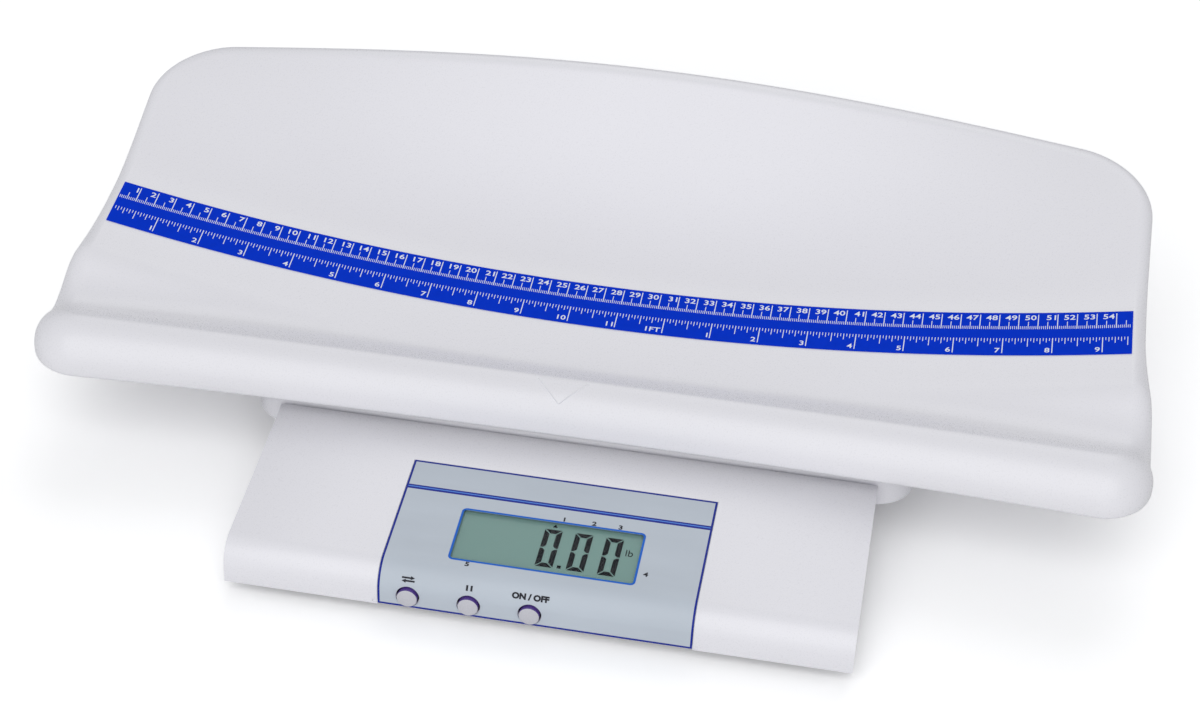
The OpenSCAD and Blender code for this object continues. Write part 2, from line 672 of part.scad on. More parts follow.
// Circuit board with its chips and the two lead sockets
module main_board() {
    color([0.1, 0.35, 0.2]) difference() {
        slope_box(board_l, board_u0, board_u1, board_w0 - board_t, board_w0);
        at_board_screws() post(m2 + hole_fit, board_w0 - 3, board_w0 + 1);
    }
    color([0.12, 0.12, 0.13]) on_slope() {
        for (c = chips) translate([c[0], c[1], board_w0 - board_t - c[4]])
            cube([c[2], c[3], c[4] + 0.1]);
    }
    color([0.9, 0.9, 0.86]) on_slope() for (x = [socket_cell, socket_batt])
        translate([x - socket_l/2, board_u1 - socket_in - socket_d,
                   board_w0 - board_t - socket_h])
            cube([socket_l, socket_d, socket_h + 0.1]);
}
// Chips under the board: place across and up the slope, length, depth, height
chips = [[-30, 24, 14, 14, 1.5], [18, 20, 9, 12, 1.5], [34, 34, 12, 5, 3.4]];
socket_cell = -30;
socket_batt = -50;
socket_in = 2;         // from the rear edge of the board
socket_l = 10;
socket_d = 6;
socket_h = 4.5;

module board_screws() color([0.7, 0.71, 0.73]) at_board_screws()
    screw_up(m2_head, m2_head_h, m2,
             board_w0 - board_t - seat_gap - m2_head_h, board_w0 + m2_bite);

// ---------------------------------------------------------------- buttons
ear_gap = 0.45;
ear_t = 1.2;
ear_l = cap_d + 5.6;
ear_h = 8;
stem_l = 1;
stem_d = 4;
stem_end = front_y + wall + ear_gap + ear_t + stem_l;
plunger = 0.8;
plunger_d = 3.4;
switch_t = 3.5;
switch_w = 6;
key_y = stem_end + cap_travel + slide_gap + plunger + switch_t + seat_gap;
key_t = 1.6;
key_h = 21;

// Domed cap with a stem for its switch and two ears that keep it in
module button(i) color([0.86, 0.87, 0.9]) translate([cap_x(i), 0, cap_z]) {
    edge = 1;
    translate([0, front_y, 0]) rotate([-90, 0, 0]) rotate_extrude()
        polygon([[0, -cap_proud],
            for (a = [30:20:90]) [(cap_d/2 - edge) + edge*sin(a),
                                  -cap_proud + edge*(1.35 - cos(a))],
            [cap_d/2, wall + ear_gap + ear_t], [0, wall + ear_gap + ear_t]]);
    translate([-ear_l/2, front_y + wall + ear_gap, -ear_h/2])
        cube([ear_l, ear_t, ear_h]);
    post_y(stem_d, stem_end - stem_l - 0.1, stem_end);
}
module button_unit() button(0);
module button_hold() button(1);
module button_power() button(2);

// Short-travel switches behind the buttons
module tact_switches() color([0.2, 0.2, 0.22]) at_buttons() {
    translate([-switch_w/2, key_y - seat_gap - switch_t, -switch_w/2])
        cube([switch_w, switch_t, switch_w]);
    post_y(plunger_d, key_y - seat_gap - switch_t - plunger, key_y - switch_t);
}
// Upright board that carries the switches
key_x0 = cap_x(0) - 12;
key_x1 = cap_x(2) + 12;
module key_board() color([0.1, 0.35, 0.2])
    translate([key_x0, key_y, plate_z + plate_t + seat_gap])
        cube([key_x1 - key_x0, key_t, key_h - plate_z - plate_t - seat_gap]);

// ---------------------------------------------------------------- batteries
batt_pitch = batt_d + 0.7;
cell_room_y = 2*batt_d + 1.6;       // inside of the battery holder, along Y
batt_gap = 0.9;                     // from the middle to each battery
contact_room = 2.4;                 // for the springs at each end
holder_t = 1.5;
holder_l = 2*(batt_gap + batt_l + contact_room);
holder_y1 = deck_y1 - wall - 1;
holder_y0 = holder_y1 - cell_room_y - 2*holder_t;
door_lip = 1.8;
lip_t = 1;             // thickness of the door's two lips
grip_step = 4;
grip_w = 1.5;
grip_deep = 0.5;
nub_d = 5.5;           // raised end of a battery
nub_h = 1.2;
door_z1 = plate_z + plate_t + slide_gap + lip_t;
door_l = holder_l - 2*door_lip - 4*slide_gap;
door_y0 = holder_y0 + holder_t;
batt_z = door_z1 + slide_gap + batt_d/2;
bay_top = deck_h - wall - seat_gap;
batt_mid = holder_y0 + holder_t + cell_room_y/2;

// Bay for the batteries, open downwards
module battery_holder() color([0.86, 0.87, 0.88]) difference() {
    box_y(holder_l + 2*holder_t, holder_y0, holder_y1,
          plate_z + plate_t + seat_gap, bay_top);
    box_y(holder_l, holder_y0 + holder_t, holder_y1 - holder_t,
          0, batt_z + batt_d/2 + 0.25);
    box_y(holder_l, holder_y0 + holder_t, holder_y1 + 1, 0, door_z1 + slide_gap);
}
module at_batteries() for (s = [-1, 1]) for (q = [-1, 1])
    translate([0, batt_mid + q*batt_pitch/2, batt_z]) rotate([0, s*90, 0])
        children();
module batteries() color([0.25, 0.27, 0.3]) at_batteries() {
    post(batt_d, batt_gap + 0.2, batt_gap + batt_l - nub_h);
    post(nub_d, batt_gap + batt_l - nub_h - 0.1, batt_gap + batt_l);
}
// Sprung plates at the ends of the bay and one between the pairs
module battery_contacts() color([0.8, 0.8, 0.78]) {
    at_batteries() {
        translate([-contact_w/2, -contact_w/2, holder_l/2 - contact_back])
            cube([contact_w, contact_w, contact_t]);
        post(spring_d, holder_l/2 - contact_room + 0.3,
             holder_l/2 - contact_back + 0.1);
    }
    for (q = [-1, 1]) translate([-contact_t, batt_mid + q*batt_pitch/2 - contact_w/2,
                                 batt_z - contact_w/2])
        cube([2*contact_t, contact_w, batt_d/2 + contact_w/2 + 0.1]);
}
contact_w = 10;
contact_t = 0.4;
contact_back = 0.5;    // from the end wall of the bay to the front of a plate
spring_d = 6;
// Door that slides out backwards, held by lips over the base plate
module battery_door() color([0.93, 0.93, 0.95]) {
    difference() {
        box_y(door_l, door_y0, deck_y1, plate_z + (plate_t - door_t),
              door_z1 - 0.5);
        for (i = [1:3]) let (y = deck_y1 - grip_step*i)
            box_y(door_l/3, y, y + grip_w, 0,
                  plate_z + plate_t - door_t + grip_deep);
    }
    box_y(door_l + 2*door_lip, door_y0, deck_y1, door_z1 - lip_t, door_z1);
}

// ---------------------------------------------------------------- base
key_post = 5;          // width of the two slotted posts of the upright board
key_post_wall = 3;
key_post_h = 9;
module base_plate() {
    z1 = plate_z + plate_t;
    gap = wall + slide_gap;
    color([0.88, 0.88, 0.9]) {
        translate([0, 0, plate_z]) linear_extrude(plate_t) difference() {
            union() {
                rect_y(console_w - 2*gap, front_y + gap, console_back - gap);
                rect_y(deck_w - 2*gap, console_back - 2*gap, deck_y1 - gap);
            }
            rect_y(door_l + 2*slide_gap, door_y0 - slide_gap, deck_y1);
            at_cell_bolts(-1) circle(d = cell_bolt + hole_fit);
            for (b = bosses) translate([b[0], b[1]]) circle(d = m3 + hole_fit);
        }
        for (x = [key_x0, key_x1]) translate([x, 0, 0]) difference() {
            box_y(key_post, key_y - key_post_wall, key_y + key_t + key_post_wall,
                  z1 - 0.5, z1 + key_post_h);
            box_y(2*key_post, key_y - seat_gap, key_y + key_t + seat_gap,
                  z1, z1 + key_post_h + 1);
        }
    }
}
module housing_screws() color([0.7, 0.71, 0.73])
    for (b = bosses) translate([b[0], b[1], 0])
        screw_up(m3_head, m3_head_h, m3, plate_z - seat_gap - m3_head_h,
                 plate_z + plate_t + m3_bite);

// Feet, each beside a front or rear housing screw
foot_clear = 7.5;      // from the head of that screw to the foot
foot_edge = 1.2;
foot_step = foot_d/2 + m3_head/2 + foot_clear;
module rubber_feet() color([0.2, 0.2, 0.21])
    for (b = bosses) if (b[1] == bosses[0][1] || b[1] == bosses[3][1])
        translate([b[0] - sign(b[0])*foot_step, b[1], 0]) rotate_extrude()
            polygon([[0, 0], [foot_d/2 - foot_edge, 0], [foot_d/2, foot_edge],
                [foot_d/2, plate_z - seat_gap], [0, plate_z - seat_gap]]);

// ---------------------------------------------------------------- leads
lead_z = plate_z + plate_t + 4;
lead_side = 24;        // battery leads beside the load cell
// Place in front of a socket on the board
function at_socket(x) =
    let (u = board_u1 - socket_in, w = board_w0 - board_t - socket_h/2)
    [x, slope_y + (u + 1)*cos(console_slope) - w*sin(console_slope),
     console_h + u*sin(console_slope) + w*cos(console_slope)];
// Screened lead from the strain gauges to the board
module cell_cable() {
    e = at_socket(socket_cell);
    x0 = -cell_l/2 - 2.2;
    color([0.3, 0.3, 0.32]) lead([[x0, plat_mid, lead_z + 4],
        [x0 - 4, plat_mid - 3, lead_z + 1], [x0 - 7, plat_mid - 12, lead_z],
        [x0 - 7, deck_y0, lead_z], [x0 - 2, console_back + 4, lead_z],
        [e[0] - 6, console_back - 12, lead_z + 2],
        [e[0] - 1, e[1] + 8, e[2] - 2], e], 3);
}
// Two leads from the battery contacts to the board
module battery_leads() {
    e = at_socket(socket_batt);
    for (s = [0, 1]) color([0.7*s + 0.1, 0.1, 0.1])
        let (o = 3*s, x = -cell_l/2 - lead_side) lead([
            [x + 60 + o, holder_y0 - 0.4, lead_z + 3],
            [x + 58 + o, holder_y0 - 5 - o, lead_z],
            [x + 10 + o, holder_y0 - 9 - o, lead_z],
            [x + o, holder_y0 - 18 - o, lead_z], [x + o, deck_y0, lead_z],
            [x + 8 + o, console_back + o, lead_z],
            [e[0] - 12 + o, console_back - 12 + o, lead_z + 2],
            [e[0] - 3 + o, e[1] + 8, e[2] - 2], [e[0] - 1.5 + o, e[1], e[2]]], 1.8);
}

tray();
measuring_tape();
tray_mounts();
tray_screws();
platform_cover();
platform_frame();
cell_spacer_top();
cell_bolts_top();
load_cell();
strain_gauges();
cell_spacer_bottom();
cell_bolts_bottom();
overload_stops();
upper_housing();
base_plate();
housing_screws();
rubber_feet();
overlay_panel();
display_window();
lcd_panel();
lcd_holder();
main_board();
board_screws();
button_unit();
button_hold();
button_power();
tact_switches();
key_board();
battery_holder();
batteries();
battery_contacts();
battery_door();
cell_cable();
battery_leads();
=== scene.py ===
"""Dresses the digital baby weighing scale: a moulded cradle tray with a printed
tape, a sloped console with a display and three buttons, and their finishes.
All lengths are metres, in the frame of the solid model: +Z up, +Y to the back.
"""
import math

import bmesh
import bpy
import numpy as np
from bpy.props import FloatProperty, FloatVectorProperty, PointerProperty
from mathutils import Matrix, Vector
from mathutils.geometry import tessellate_polygon


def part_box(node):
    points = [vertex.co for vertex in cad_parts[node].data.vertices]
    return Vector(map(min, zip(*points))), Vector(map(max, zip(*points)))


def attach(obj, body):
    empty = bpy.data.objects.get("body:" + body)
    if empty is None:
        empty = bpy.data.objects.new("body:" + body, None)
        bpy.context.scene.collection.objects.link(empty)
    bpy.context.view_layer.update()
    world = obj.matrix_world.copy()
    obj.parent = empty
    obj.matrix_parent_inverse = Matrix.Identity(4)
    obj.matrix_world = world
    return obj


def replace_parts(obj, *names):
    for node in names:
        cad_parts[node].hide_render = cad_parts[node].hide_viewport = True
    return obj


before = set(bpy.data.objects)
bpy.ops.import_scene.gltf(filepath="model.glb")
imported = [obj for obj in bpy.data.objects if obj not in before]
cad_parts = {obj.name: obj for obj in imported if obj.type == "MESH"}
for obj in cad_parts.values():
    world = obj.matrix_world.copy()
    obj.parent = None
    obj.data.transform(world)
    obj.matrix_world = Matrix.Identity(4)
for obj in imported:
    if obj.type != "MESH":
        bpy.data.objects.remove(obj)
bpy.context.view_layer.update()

bl_info = {
    "name": "Baby Scale Dresser",
    "version": (1, 0, 0),
    "blender": (4, 5, 0),
    "location": "View3D > Sidebar > Baby Scale",
    "description": "Builds the visible pieces of a digital baby weighing scale",
    "category": "Object",
}

MM = 0.001


def low(node):
    """Lowest corner of a solid."""
    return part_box(node)[0]


def high(node):
    """Highest corner of a solid."""
    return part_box(node)[1]


# Places that the solids give
FRONT_Y = low("overlay_panel").y
CAPS = ("button_unit", "button_hold", "button_power")
CAP_X = [(low(n).x + high(n).x)/2 for n in CAPS]


# --------------------------------------------------------------- properties
def size(name, about, default):
    """A length in metres that a user may change."""
    return FloatProperty(name=name, description=about, default=default,
                         unit="LENGTH", precision=4)


def share(name, about, default):
    """A plain number that a user may change."""
    return FloatProperty(name=name, description=about, default=default)


def paint(name, about, default):
    """A colour that a user may change."""
    return FloatVectorProperty(name=name, description=about, default=default,
                               size=3, min=0.0, max=1.0, subtype="COLOR")


class TraySizes(bpy.types.PropertyGroup):
    """Sizes and colour of the cradle tray."""

    length: size("Length", "Length of the tray along its crest line", 0.545)
    depth: size("Depth", "Depth between the crest lines", 0.205)
    floor: size("Floor height", "Height of the floor at the tape", 0.057)
    lip: size("Lip rise", "Height of the front lip over the floor", 0.013)
    rear: size("Rear rise", "Height of the rear rim over the floor", 0.0802)
    cradle: size("Cradle radius", "Radius of the floor's long curve", 1.35)
    wall: size("Wall", "Thickness of the moulding", 0.003)
    colour: paint("Colour", "Colour of the tray", (0.82, 0.815, 0.855))


class TapeSizes(bpy.types.PropertyGroup):
    """Sizes and colours of the printed tape."""

    length: size("Length", "Length of the tape along the cradle", 0.5484)
    width: size("Width", "Width of the tape", 0.0323)
    numeral: size("Numeral height", "Height of the centimetre numbers", 0.0038)
    colour: paint("Ground", "Colour of the tape's ground", (0.0, 0.036, 0.62))
    ink: paint("Marks", "Colour of the marks and numbers", (0.82, 0.86, 0.95))


class ConsoleSizes(bpy.types.PropertyGroup):
    """Sizes and colours of the console, its overlay and its display."""

    edge: size("Edge radius", "Softening of the housing's edges", 0.0006)
    line: size("Line width", "Width of the overlay's border line", 0.0010)
    digit: size("Digit height", "Height of the display's digits", 0.0255)
    pitch: size("Digit pitch", "Distance between the digits", 0.01525)
    white: paint("Housing", "Colour of the housing", (0.84, 0.835, 0.88))
    silver: paint("Overlay", "Colour of the overlay", (0.54, 0.595, 0.665))
    blue: paint("Lines", "Colour of the overlay's lines", (0.008, 0.022, 0.30))
    glass: paint("Display", "Colour of the display's field",
                 (0.205, 0.345, 0.315))


class StageSizes(bpy.types.PropertyGroup):
    """Camera and light of the stage."""

    lens: share("Lens", "Focal length of the camera", 74.11)
    sky: share("Sky", "Strength of the soft sky", 0.40)
    front: share("Front", "Strength of the broad front light", 1.20)
    high: share("High", "Strength of the high light", 0.38)
    back: share("Back", "Strength of the light from behind", 0.45)
    floor: share("Floor", "Whiteness of the floor in view", 1.32)


GROUPS = {"baby_tray": TraySizes, "baby_tape": TapeSizes,
          "baby_console": ConsoleSizes, "baby_stage": StageSizes}


# --------------------------------------------------------------- mesh tools
def mesh_piece(name, points, faces, body, material, smooth=True,
               sharp=35.0):
    """A mesh object from an array of points and a list of face index arrays
    (each array n x 3 or n x 4), riding on a body."""
    mesh = bpy.data.meshes.new(name)
    loops = np.concatenate([f.ravel() for f in faces]).astype(np.int32)
    totals = np.concatenate([np.full(len(f), f.shape[1]) for f in faces])
    starts = np.concatenate([[0], np.cumsum(totals)[:-1]]).astype(np.int32)
    mesh.vertices.add(len(points))
    mesh.vertices.foreach_set("co", np.asarray(points, np.float32).ravel())
    mesh.loops.add(len(loops))
    mesh.loops.foreach_set("vertex_index", loops)
    mesh.polygons.add(len(totals))
    mesh.polygons.foreach_set("loop_start", starts)
    mesh.update(calc_edges=True)
    mesh.validate()
    return dress(name, mesh, body, material, smooth, sharp)


def dress(name, mesh, body, material, smooth=True, sharp=35.0):
    """Links a mesh as a piece of the object: finish, slot, body, shading."""
    mesh.polygons.foreach_set("use_smooth", np.full(len(mesh.polygons), smooth))
    if smooth:
        mesh.set_sharp_from_angle(angle=math.radians(sharp))
    obj = bpy.data.objects.new(name, mesh)
    bpy.context.scene.collection.objects.link(obj)
    obj.data.materials.clear()
    obj.data.materials.append(material)
    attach(obj, body)
    return obj


def grid_faces(rows, cols, first=0, close_cols=False, flip=False):
    """Quads of a grid of rows x cols points, row by row; columns may close."""
    r = np.arange(rows - 1)[:, None]
    c = np.arange(cols if close_cols else cols - 1)[None, :]
    a = first + r * cols + c
    b = first + r * cols + (c + 1) % cols
    quads = np.stack([a, b, b + cols, a + cols], -1).reshape(-1, 4)
    return quads[:, ::-1] if flip else quads


def loft(rings, close=True):
    """A closed solid from an array of rings (rings x points x 3): the side is
    a grid that closes around each ring, and fans close the two ends."""
    n_ring, n = rings.shape[:2]
    points = [rings.reshape(-1, 3)]
    faces = [grid_faces(n_ring, n, close_cols=True)]
    if close:
        i = np.arange(n)
        for k, ring in ((0, rings[0]), (n_ring - 1, rings[-1])):
            hub = n_ring * n + (0 if k == 0 else 1)
            points.append(ring.mean(0)[None])
            fan = np.stack([k * n + i, k * n + (i + 1) % n,
                            np.full(n, hub)], -1)
            faces.append(fan[:, ::-1] if k == 0 else fan)
    return np.concatenate(points), faces


def join(parts):
    """Joins (points, faces) pairs into one array of points and one of faces."""
    shift = np.cumsum([0] + [len(points) for points, _ in parts[:-1]])
    return (np.concatenate([points for points, _ in parts]),
            np.concatenate([faces + d for (_, faces), d in zip(parts, shift)]))


def shell(top, under, faces):
    """A closed solid between two sheets of the same grid: the lower faces are
    the upper ones turned over, and a wall closes every edge that only one
    face has."""
    n = len(top)
    edges = np.concatenate([np.stack([f, np.roll(f, -1, 1)], -1).reshape(-1, 2)
                            for f in faces])
    alone = ~np.isin(edges[:, 0]*n + edges[:, 1], edges[:, 1]*n + edges[:, 0])
    a, b = edges[alone].T
    wall = np.stack([b, a, a + n, b + n], -1)
    return (np.concatenate([top, under]),
            faces + [f[:, ::-1] + n for f in faces] + [wall])


def round_rect(length, depth, radius, steps=10):
    """Outline of a rectangle with round corners: four quarter circles."""
    a = np.linspace(0, math.pi / 2, steps + 1)
    quads = []
    for q, (sx, sy) in enumerate(((1, 1), (-1, 1), (-1, -1), (1, -1))):
        ang = a + q * math.pi / 2
        quads.append(np.stack([
            sx * (length / 2 - radius) + radius * np.cos(ang),
            sy * (depth / 2 - radius) + radius * np.sin(ang)], -1))
    return np.concatenate(quads)


def ease(t):
    """Smooth step from 0 to 1: 3t^2 - 2t^3."""
    t = np.clip(t, 0, 1)
    return t * t * (3 - 2 * t)


def cubic(s, run, z0, m0, z1, m1):
    """Cubic over s in 0..1 from z0 with slope m0 to z1 with slope m1."""
    return ((2*s**3 - 3*s**2 + 1)*z0 + (s**3 - 2*s**2 + s)*run*m0
            + (3*s**2 - 2*s**3)*z1 + (s**3 - s**2)*run*m1)


# --------------------------------------------------------------- tray form
class TrayForm:
    """The tray's upper face as a height over (x, v), v metres behind the
    front crest line: a middle line made of cubics, plus a share of the
    cradle's parabola x^2/2R that fades to the front lip and turns into the
    arch of the rear rim."""

    DIP_V, LEVEL_V, TAPE_V, WALL_V = 0.032, 0.046, 0.066, 0.099
    DIP, TAPE_TILT, WALL_TILT = 0.0022, 8.4, 46   # depth, degrees, degrees
    LIP_SLOPE, CREST_SHARE, ARCH = -0.55, 0.05, 2.1
    SHOULDER, SHOULDER_R = 0.006, 0.0085
    FRONT_C, REAR_C, FRONT_BOW, REAR_BOW = 0.012, 0.033, 0.010, 0.006
    REAR_FALL = 0.0205
    ROLL_END, ROLL_CORNER, ROLL_FRONT = 0.0076, 0.0139, 0.019
    ROLL_FLARE, WIDEN_V, WIDEN_RUN = 0.002, 0.086, 0.070
    SKIRT = 0.004

    def __init__(self, p):
        self.half = p.length / 2
        self.depth, self.floor, self.radius = p.depth, p.floor, p.cradle
        self.lip, self.rear, self.wall = p.lip, p.rear, p.wall
        self.tape_m = math.tan(math.radians(self.TAPE_TILT))
        self.wall_m = math.tan(math.radians(self.WALL_TILT))
        self.arch = 1 + self.REAR_FALL * 2 * self.radius / self.half**2
        self.crest = high("tray").y - self.ROLL_END - self.depth

    def drop(self, m, d):
        """Height that a round shoulder takes off a wall of slope m."""
        s, r = self.SHOULDER, self.SHOULDER_R
        return m * ((s - d) - (np.sqrt(r*r - d*d) - math.sqrt(r*r - s*s)))

    def middle(self, v):
        """Height of the middle line: hollow, tape slope, then the wall."""
        dip, tape, wall = self.DIP_V, self.TAPE_V, self.WALL_V
        foot = self.floor + self.tape_m * (wall - tape)
        low_z = self.floor - self.DIP
        top = self.floor + self.rear + self.drop(self.wall_m, 0.0)
        a = cubic(v/dip, dip, self.floor + self.lip, self.LIP_SLOPE, low_z, 0)
        b = cubic((v - dip)/(tape - dip), tape - dip, low_z, 0, self.floor,
                  self.tape_m)
        c = self.floor + self.tape_m * (v - tape)
        d = cubic((v - wall)/(self.depth - wall), self.depth - wall, foot,
                  self.tape_m, top, self.wall_m)
        return np.select([v < dip, v < tape, v < wall], [a, b, c], d)

    def share(self, v):
        """Share of the cradle's parabola at v."""
        rise = self.CREST_SHARE + (1 - self.CREST_SHARE)*ease(v/self.LEVEL_V)
        s = np.clip((v - self.WALL_V)/(self.depth - self.WALL_V), 0, 2)
        return np.where(v < self.LEVEL_V, rise,
                        np.where(v > self.WALL_V, 1 - self.arch*s**self.ARCH,
                                 1.0))

    def raw(self, x, v):
        """Height without the rear shoulder."""
        return self.middle(v) + self.share(v) * x*x / (2*self.radius)

    def past(self, x, c):
        """How far x reaches into a corner of radius c."""
        return np.clip(np.abs(x) - (self.half - c), 0, c)

    def inset(self, x, c):
        """Inset of a crest line through its corner: a quarter circle."""
        return c - np.sqrt(np.maximum(c*c - self.past(x, c)**2, 0))

    def facing(self, x, c):
        """Front or back share of the crest line's normal in a corner."""
        return np.sqrt(np.maximum(1 - (self.past(x, c)/c)**2, 0))

    def front_v(self, x):
        """The front crest line."""
        return self.inset(x, self.FRONT_C) - self.FRONT_BOW*(x/self.half)**2

    def rear_v(self, x):
        """The rear crest line."""
        return (self.depth - self.inset(x, self.REAR_C)
                - self.REAR_BOW*(x/self.half)**2)

    def top(self, x, v):
        """Height of the upper face, with the shoulder rolled in."""
        x, v = np.broadcast_arrays(np.asarray(x, float), np.asarray(v, float))
        d = self.rear_v(x) - v
        e = self.rear_v(x) - self.SHOULDER
        m = (self.raw(x, e) - self.raw(x, e - 0.002)) / 0.002
        cut = self.facing(x, self.REAR_C)**2 * self.drop(
            m, np.clip(d, 0, self.SHOULDER))
        return self.raw(x, v) - np.where(d > self.SHOULDER, 0, cut)

    def place(self, x, v, lift=0.0):
        """Points on the upper face, lifted along +Z."""
        x, v = np.broadcast_arrays(np.asarray(x, float), np.asarray(v, float))
        return np.stack([x, self.crest + v, self.top(x, v) + lift], -1)

    def roll_r(self, x, v, front):
        """Radius of the rim's roll: wider towards the front corners."""
        widen = self.ROLL_CORNER - self.ROLL_END
        lip = self.ROLL_FRONT + self.ROLL_FLARE*(x/self.half)**2
        return (self.ROLL_END + widen*ease((self.WIDEN_V - v)/self.WIDEN_RUN)
                + (lip - self.ROLL_CORNER)*np.maximum(front, 0))


def tray_arrays(form, cols=180, rows=110, turns=12, lip_turns=6):
    """The whole tray as one closed surface: the upper face as a grid over
    (x, v), a quarter-circle roll and an upright skirt carried along its edge,
    a half-round lower lip, and the same again inside, one wall lower."""
    x = form.half * np.sin(np.linspace(-math.pi/2, math.pi/2, cols + 1))
    t = np.linspace(0, 1, rows + 1)
    t = (1 - np.cos(math.pi * t)) / 2
    v = (form.front_v(x)[None, :]
         + t[:, None] * (form.rear_v(x) - form.front_v(x))[None, :])
    top = form.place(x[None, :], v)
    under = top - [0, 0, form.wall]
    nc, nr = cols + 1, rows + 1
    # edge loop, counter-clockwise seen from above
    i, j = np.arange(cols), np.arange(rows)
    loop = np.concatenate([i, j * nc + cols, rows * nc + cols - i,
                           (rows - j) * nc])
    edge = top.reshape(-1, 3)[loop]
    col = loop % nc
    row = loop // nc
    sign = np.where(x[col] < 0, -1.0, 1.0)
    ny = np.where(row == 0, -form.facing(x[col], form.FRONT_C),
                  np.where(row == rows, form.facing(x[col], form.REAR_C), 0.0))
    nx = sign * np.sqrt(np.maximum(1 - ny**2, 0))
    out = np.stack([nx, ny, np.zeros_like(nx)], -1)
    r = form.roll_r(edge[:, 0], edge[:, 1] - form.crest, -ny)
    up = np.array([0, 0, 1.0])
    a = np.linspace(0, math.pi/2, turns + 1)[1:]
    w, half_w = form.wall, form.wall/2

    def ring(radial, down):
        return edge + out * np.asarray(radial)[:, None] - up * np.asarray(
            down)[:, None]

    rings = [ring(r*math.sin(q), r*(1 - math.cos(q))) for q in a]
    for q in np.linspace(0, math.pi, lip_turns + 1):
        rings.append(ring(r - half_w + half_w*math.cos(q),
                          r + form.SKIRT - half_w + half_w*math.sin(q)))
    rings += [ring((r - w)*math.sin(q), w + (r - w)*(1 - math.cos(q)))
              for q in a[::-1]]
    rings = np.stack(rings)
    points = np.concatenate([top.reshape(-1, 3), rings.reshape(-1, 3),
                             under.reshape(-1, 3)])
    n = len(loop)
    base_ring, base_under = nr*nc, nr*nc + rings.shape[0]*n
    k = np.arange(n)
    nxt = (k + 1) % n
    first = np.stack([loop, base_ring + k, base_ring + nxt, loop[nxt]], -1)
    last_row = base_ring + (rings.shape[0] - 1)*n
    last = np.stack([last_row + k, base_under + loop, base_under + loop[nxt],
                     last_row + nxt], -1)
    faces = [grid_faces(nr, nc), first,
             grid_faces(rings.shape[0], n, base_ring, True, True), last,
             grid_faces(nr, nc, base_under, flip=True)]
    return points, faces


# --------------------------------------------------------------- materials
class Finish:
    """Builds one node material on Object coordinates: two noises vary the
    colour, one the roughness and a fine one the bump."""

    def __init__(self, name):
        self.mat = bpy.data.materials.new(name)
        self.mat.use_nodes = True
        self.tree = self.mat.node_tree
        self.tree.nodes.clear()
        self.out = self.node("ShaderNodeOutputMaterial")
        self.coord = self.node("ShaderNodeTexCoord")
        self.bsdf = self.node("ShaderNodeBsdfPrincipled")
        self.link(self.bsdf, "BSDF", self.out, "Surface")

    def node(self, kind, **values):
        """A node with its settings and unlinked inputs."""
        n = self.tree.nodes.new(kind)
        for key, value in values.items():
            if key in n.inputs:
                n.inputs[key].default_value = value
            else:
                setattr(n, key, value)
        return n

    def link(self, a, out, b, into):
        """Joins an output to an input."""
        self.tree.links.new(a.outputs[out], b.inputs[into])

    def noise(self, scale, detail=3.0, stretch=(1, 1, 1)):
        """Noise on Object coordinates, stretched by axis."""
        place = self.node("ShaderNodeMapping")
        place.inputs["Scale"].default_value = stretch
        self.link(self.coord, "Object", place, "Vector")
        n = self.node("ShaderNodeTexNoise", Scale=scale, Detail=detail)
        self.link(place, "Vector", n, "Vector")
        return n

    def spread(self, source, out, lo, hi, a=0.3, b=0.7):
        """A value mapped from a..b to lo..hi."""
        m = self.node("ShaderNodeMapRange")
        for key, value in (("From Min", a), ("From Max", b), ("To Min", lo),
                           ("To Max", hi)):
            m.inputs[key].default_value = value
        self.link(source, out, m, "Value")
        return m

    def blend(self, factor, out, one, two):
        """A mix of two colours by a factor."""
        m = self.node("ShaderNodeMix", data_type="RGBA")
        m.inputs[6].default_value = (*one, 1)
        m.inputs[7].default_value = (*two, 1)
        self.tree.links.new(factor.outputs[out], m.inputs[0])
        return m


def finish(name, colour, rough=0.35, spread=0.05, shade=0.06, scale=30.0,
           grain=900.0, bump=0.05, depth=0.0001, stretch=(1, 1, 1), **sockets):
    """A finish whose colour, roughness and height vary softly. The sockets
    named in **sockets are constants on the shader itself."""
    f = Finish(name)
    cloud = f.noise(scale, 4.0, stretch)
    shift = f.spread(cloud, "Fac", 0.0, 1.0)
    darker = tuple(c*(1 - shade) for c in colour)
    mix = f.blend(shift, "Result", darker, colour)
    f.tree.links.new(mix.outputs[2], f.bsdf.inputs["Base Color"])
    fine = f.noise(grain, 2.0, stretch)
    polish = f.spread(fine, "Fac", max(rough - spread, 0.02), rough + spread)
    f.link(polish, "Result", f.bsdf, "Roughness")
    height = f.node("ShaderNodeBump", Strength=bump, Distance=depth)
    f.link(fine, "Fac", height, "Height")
    f.link(height, "Normal", f.bsdf, "Normal")
    for key, value in sockets.items():
        f.bsdf.inputs[key.replace("_", " ")].default_value = value
    return f.mat


def clear_window(name, tint):
    """Thin clear plastic: light passes straight, a Fresnel share mirrors."""
    f = Finish(name)
    f.bsdf.inputs["Base Color"].default_value = (*tint, 1)
    through = f.node("ShaderNodeBsdfTransparent")
    mirror = f.node("ShaderNodeBsdfGlossy", Roughness=0.06)
    fresnel = f.node("ShaderNodeFresnel", IOR=1.38)
    haze = f.noise(240.0)
    cover = f.node("ShaderNodeMath", operation="MULTIPLY")
    share = f.spread(haze, "Fac", 0.05, 0.08)
    f.link(fresnel, "Fac", cover, 0)
    f.link(share, "Result", cover, 1)
    mix = f.node("ShaderNodeMixShader")
    f.link(cover, "Value", mix, 0)
    f.link(through, "BSDF", mix, 1)
    f.link(mirror, "BSDF", mix, 2)
    f.link(mix, "Shader", f.out, "Surface")
    f.tree.nodes.remove(f.bsdf)
    return f.mat


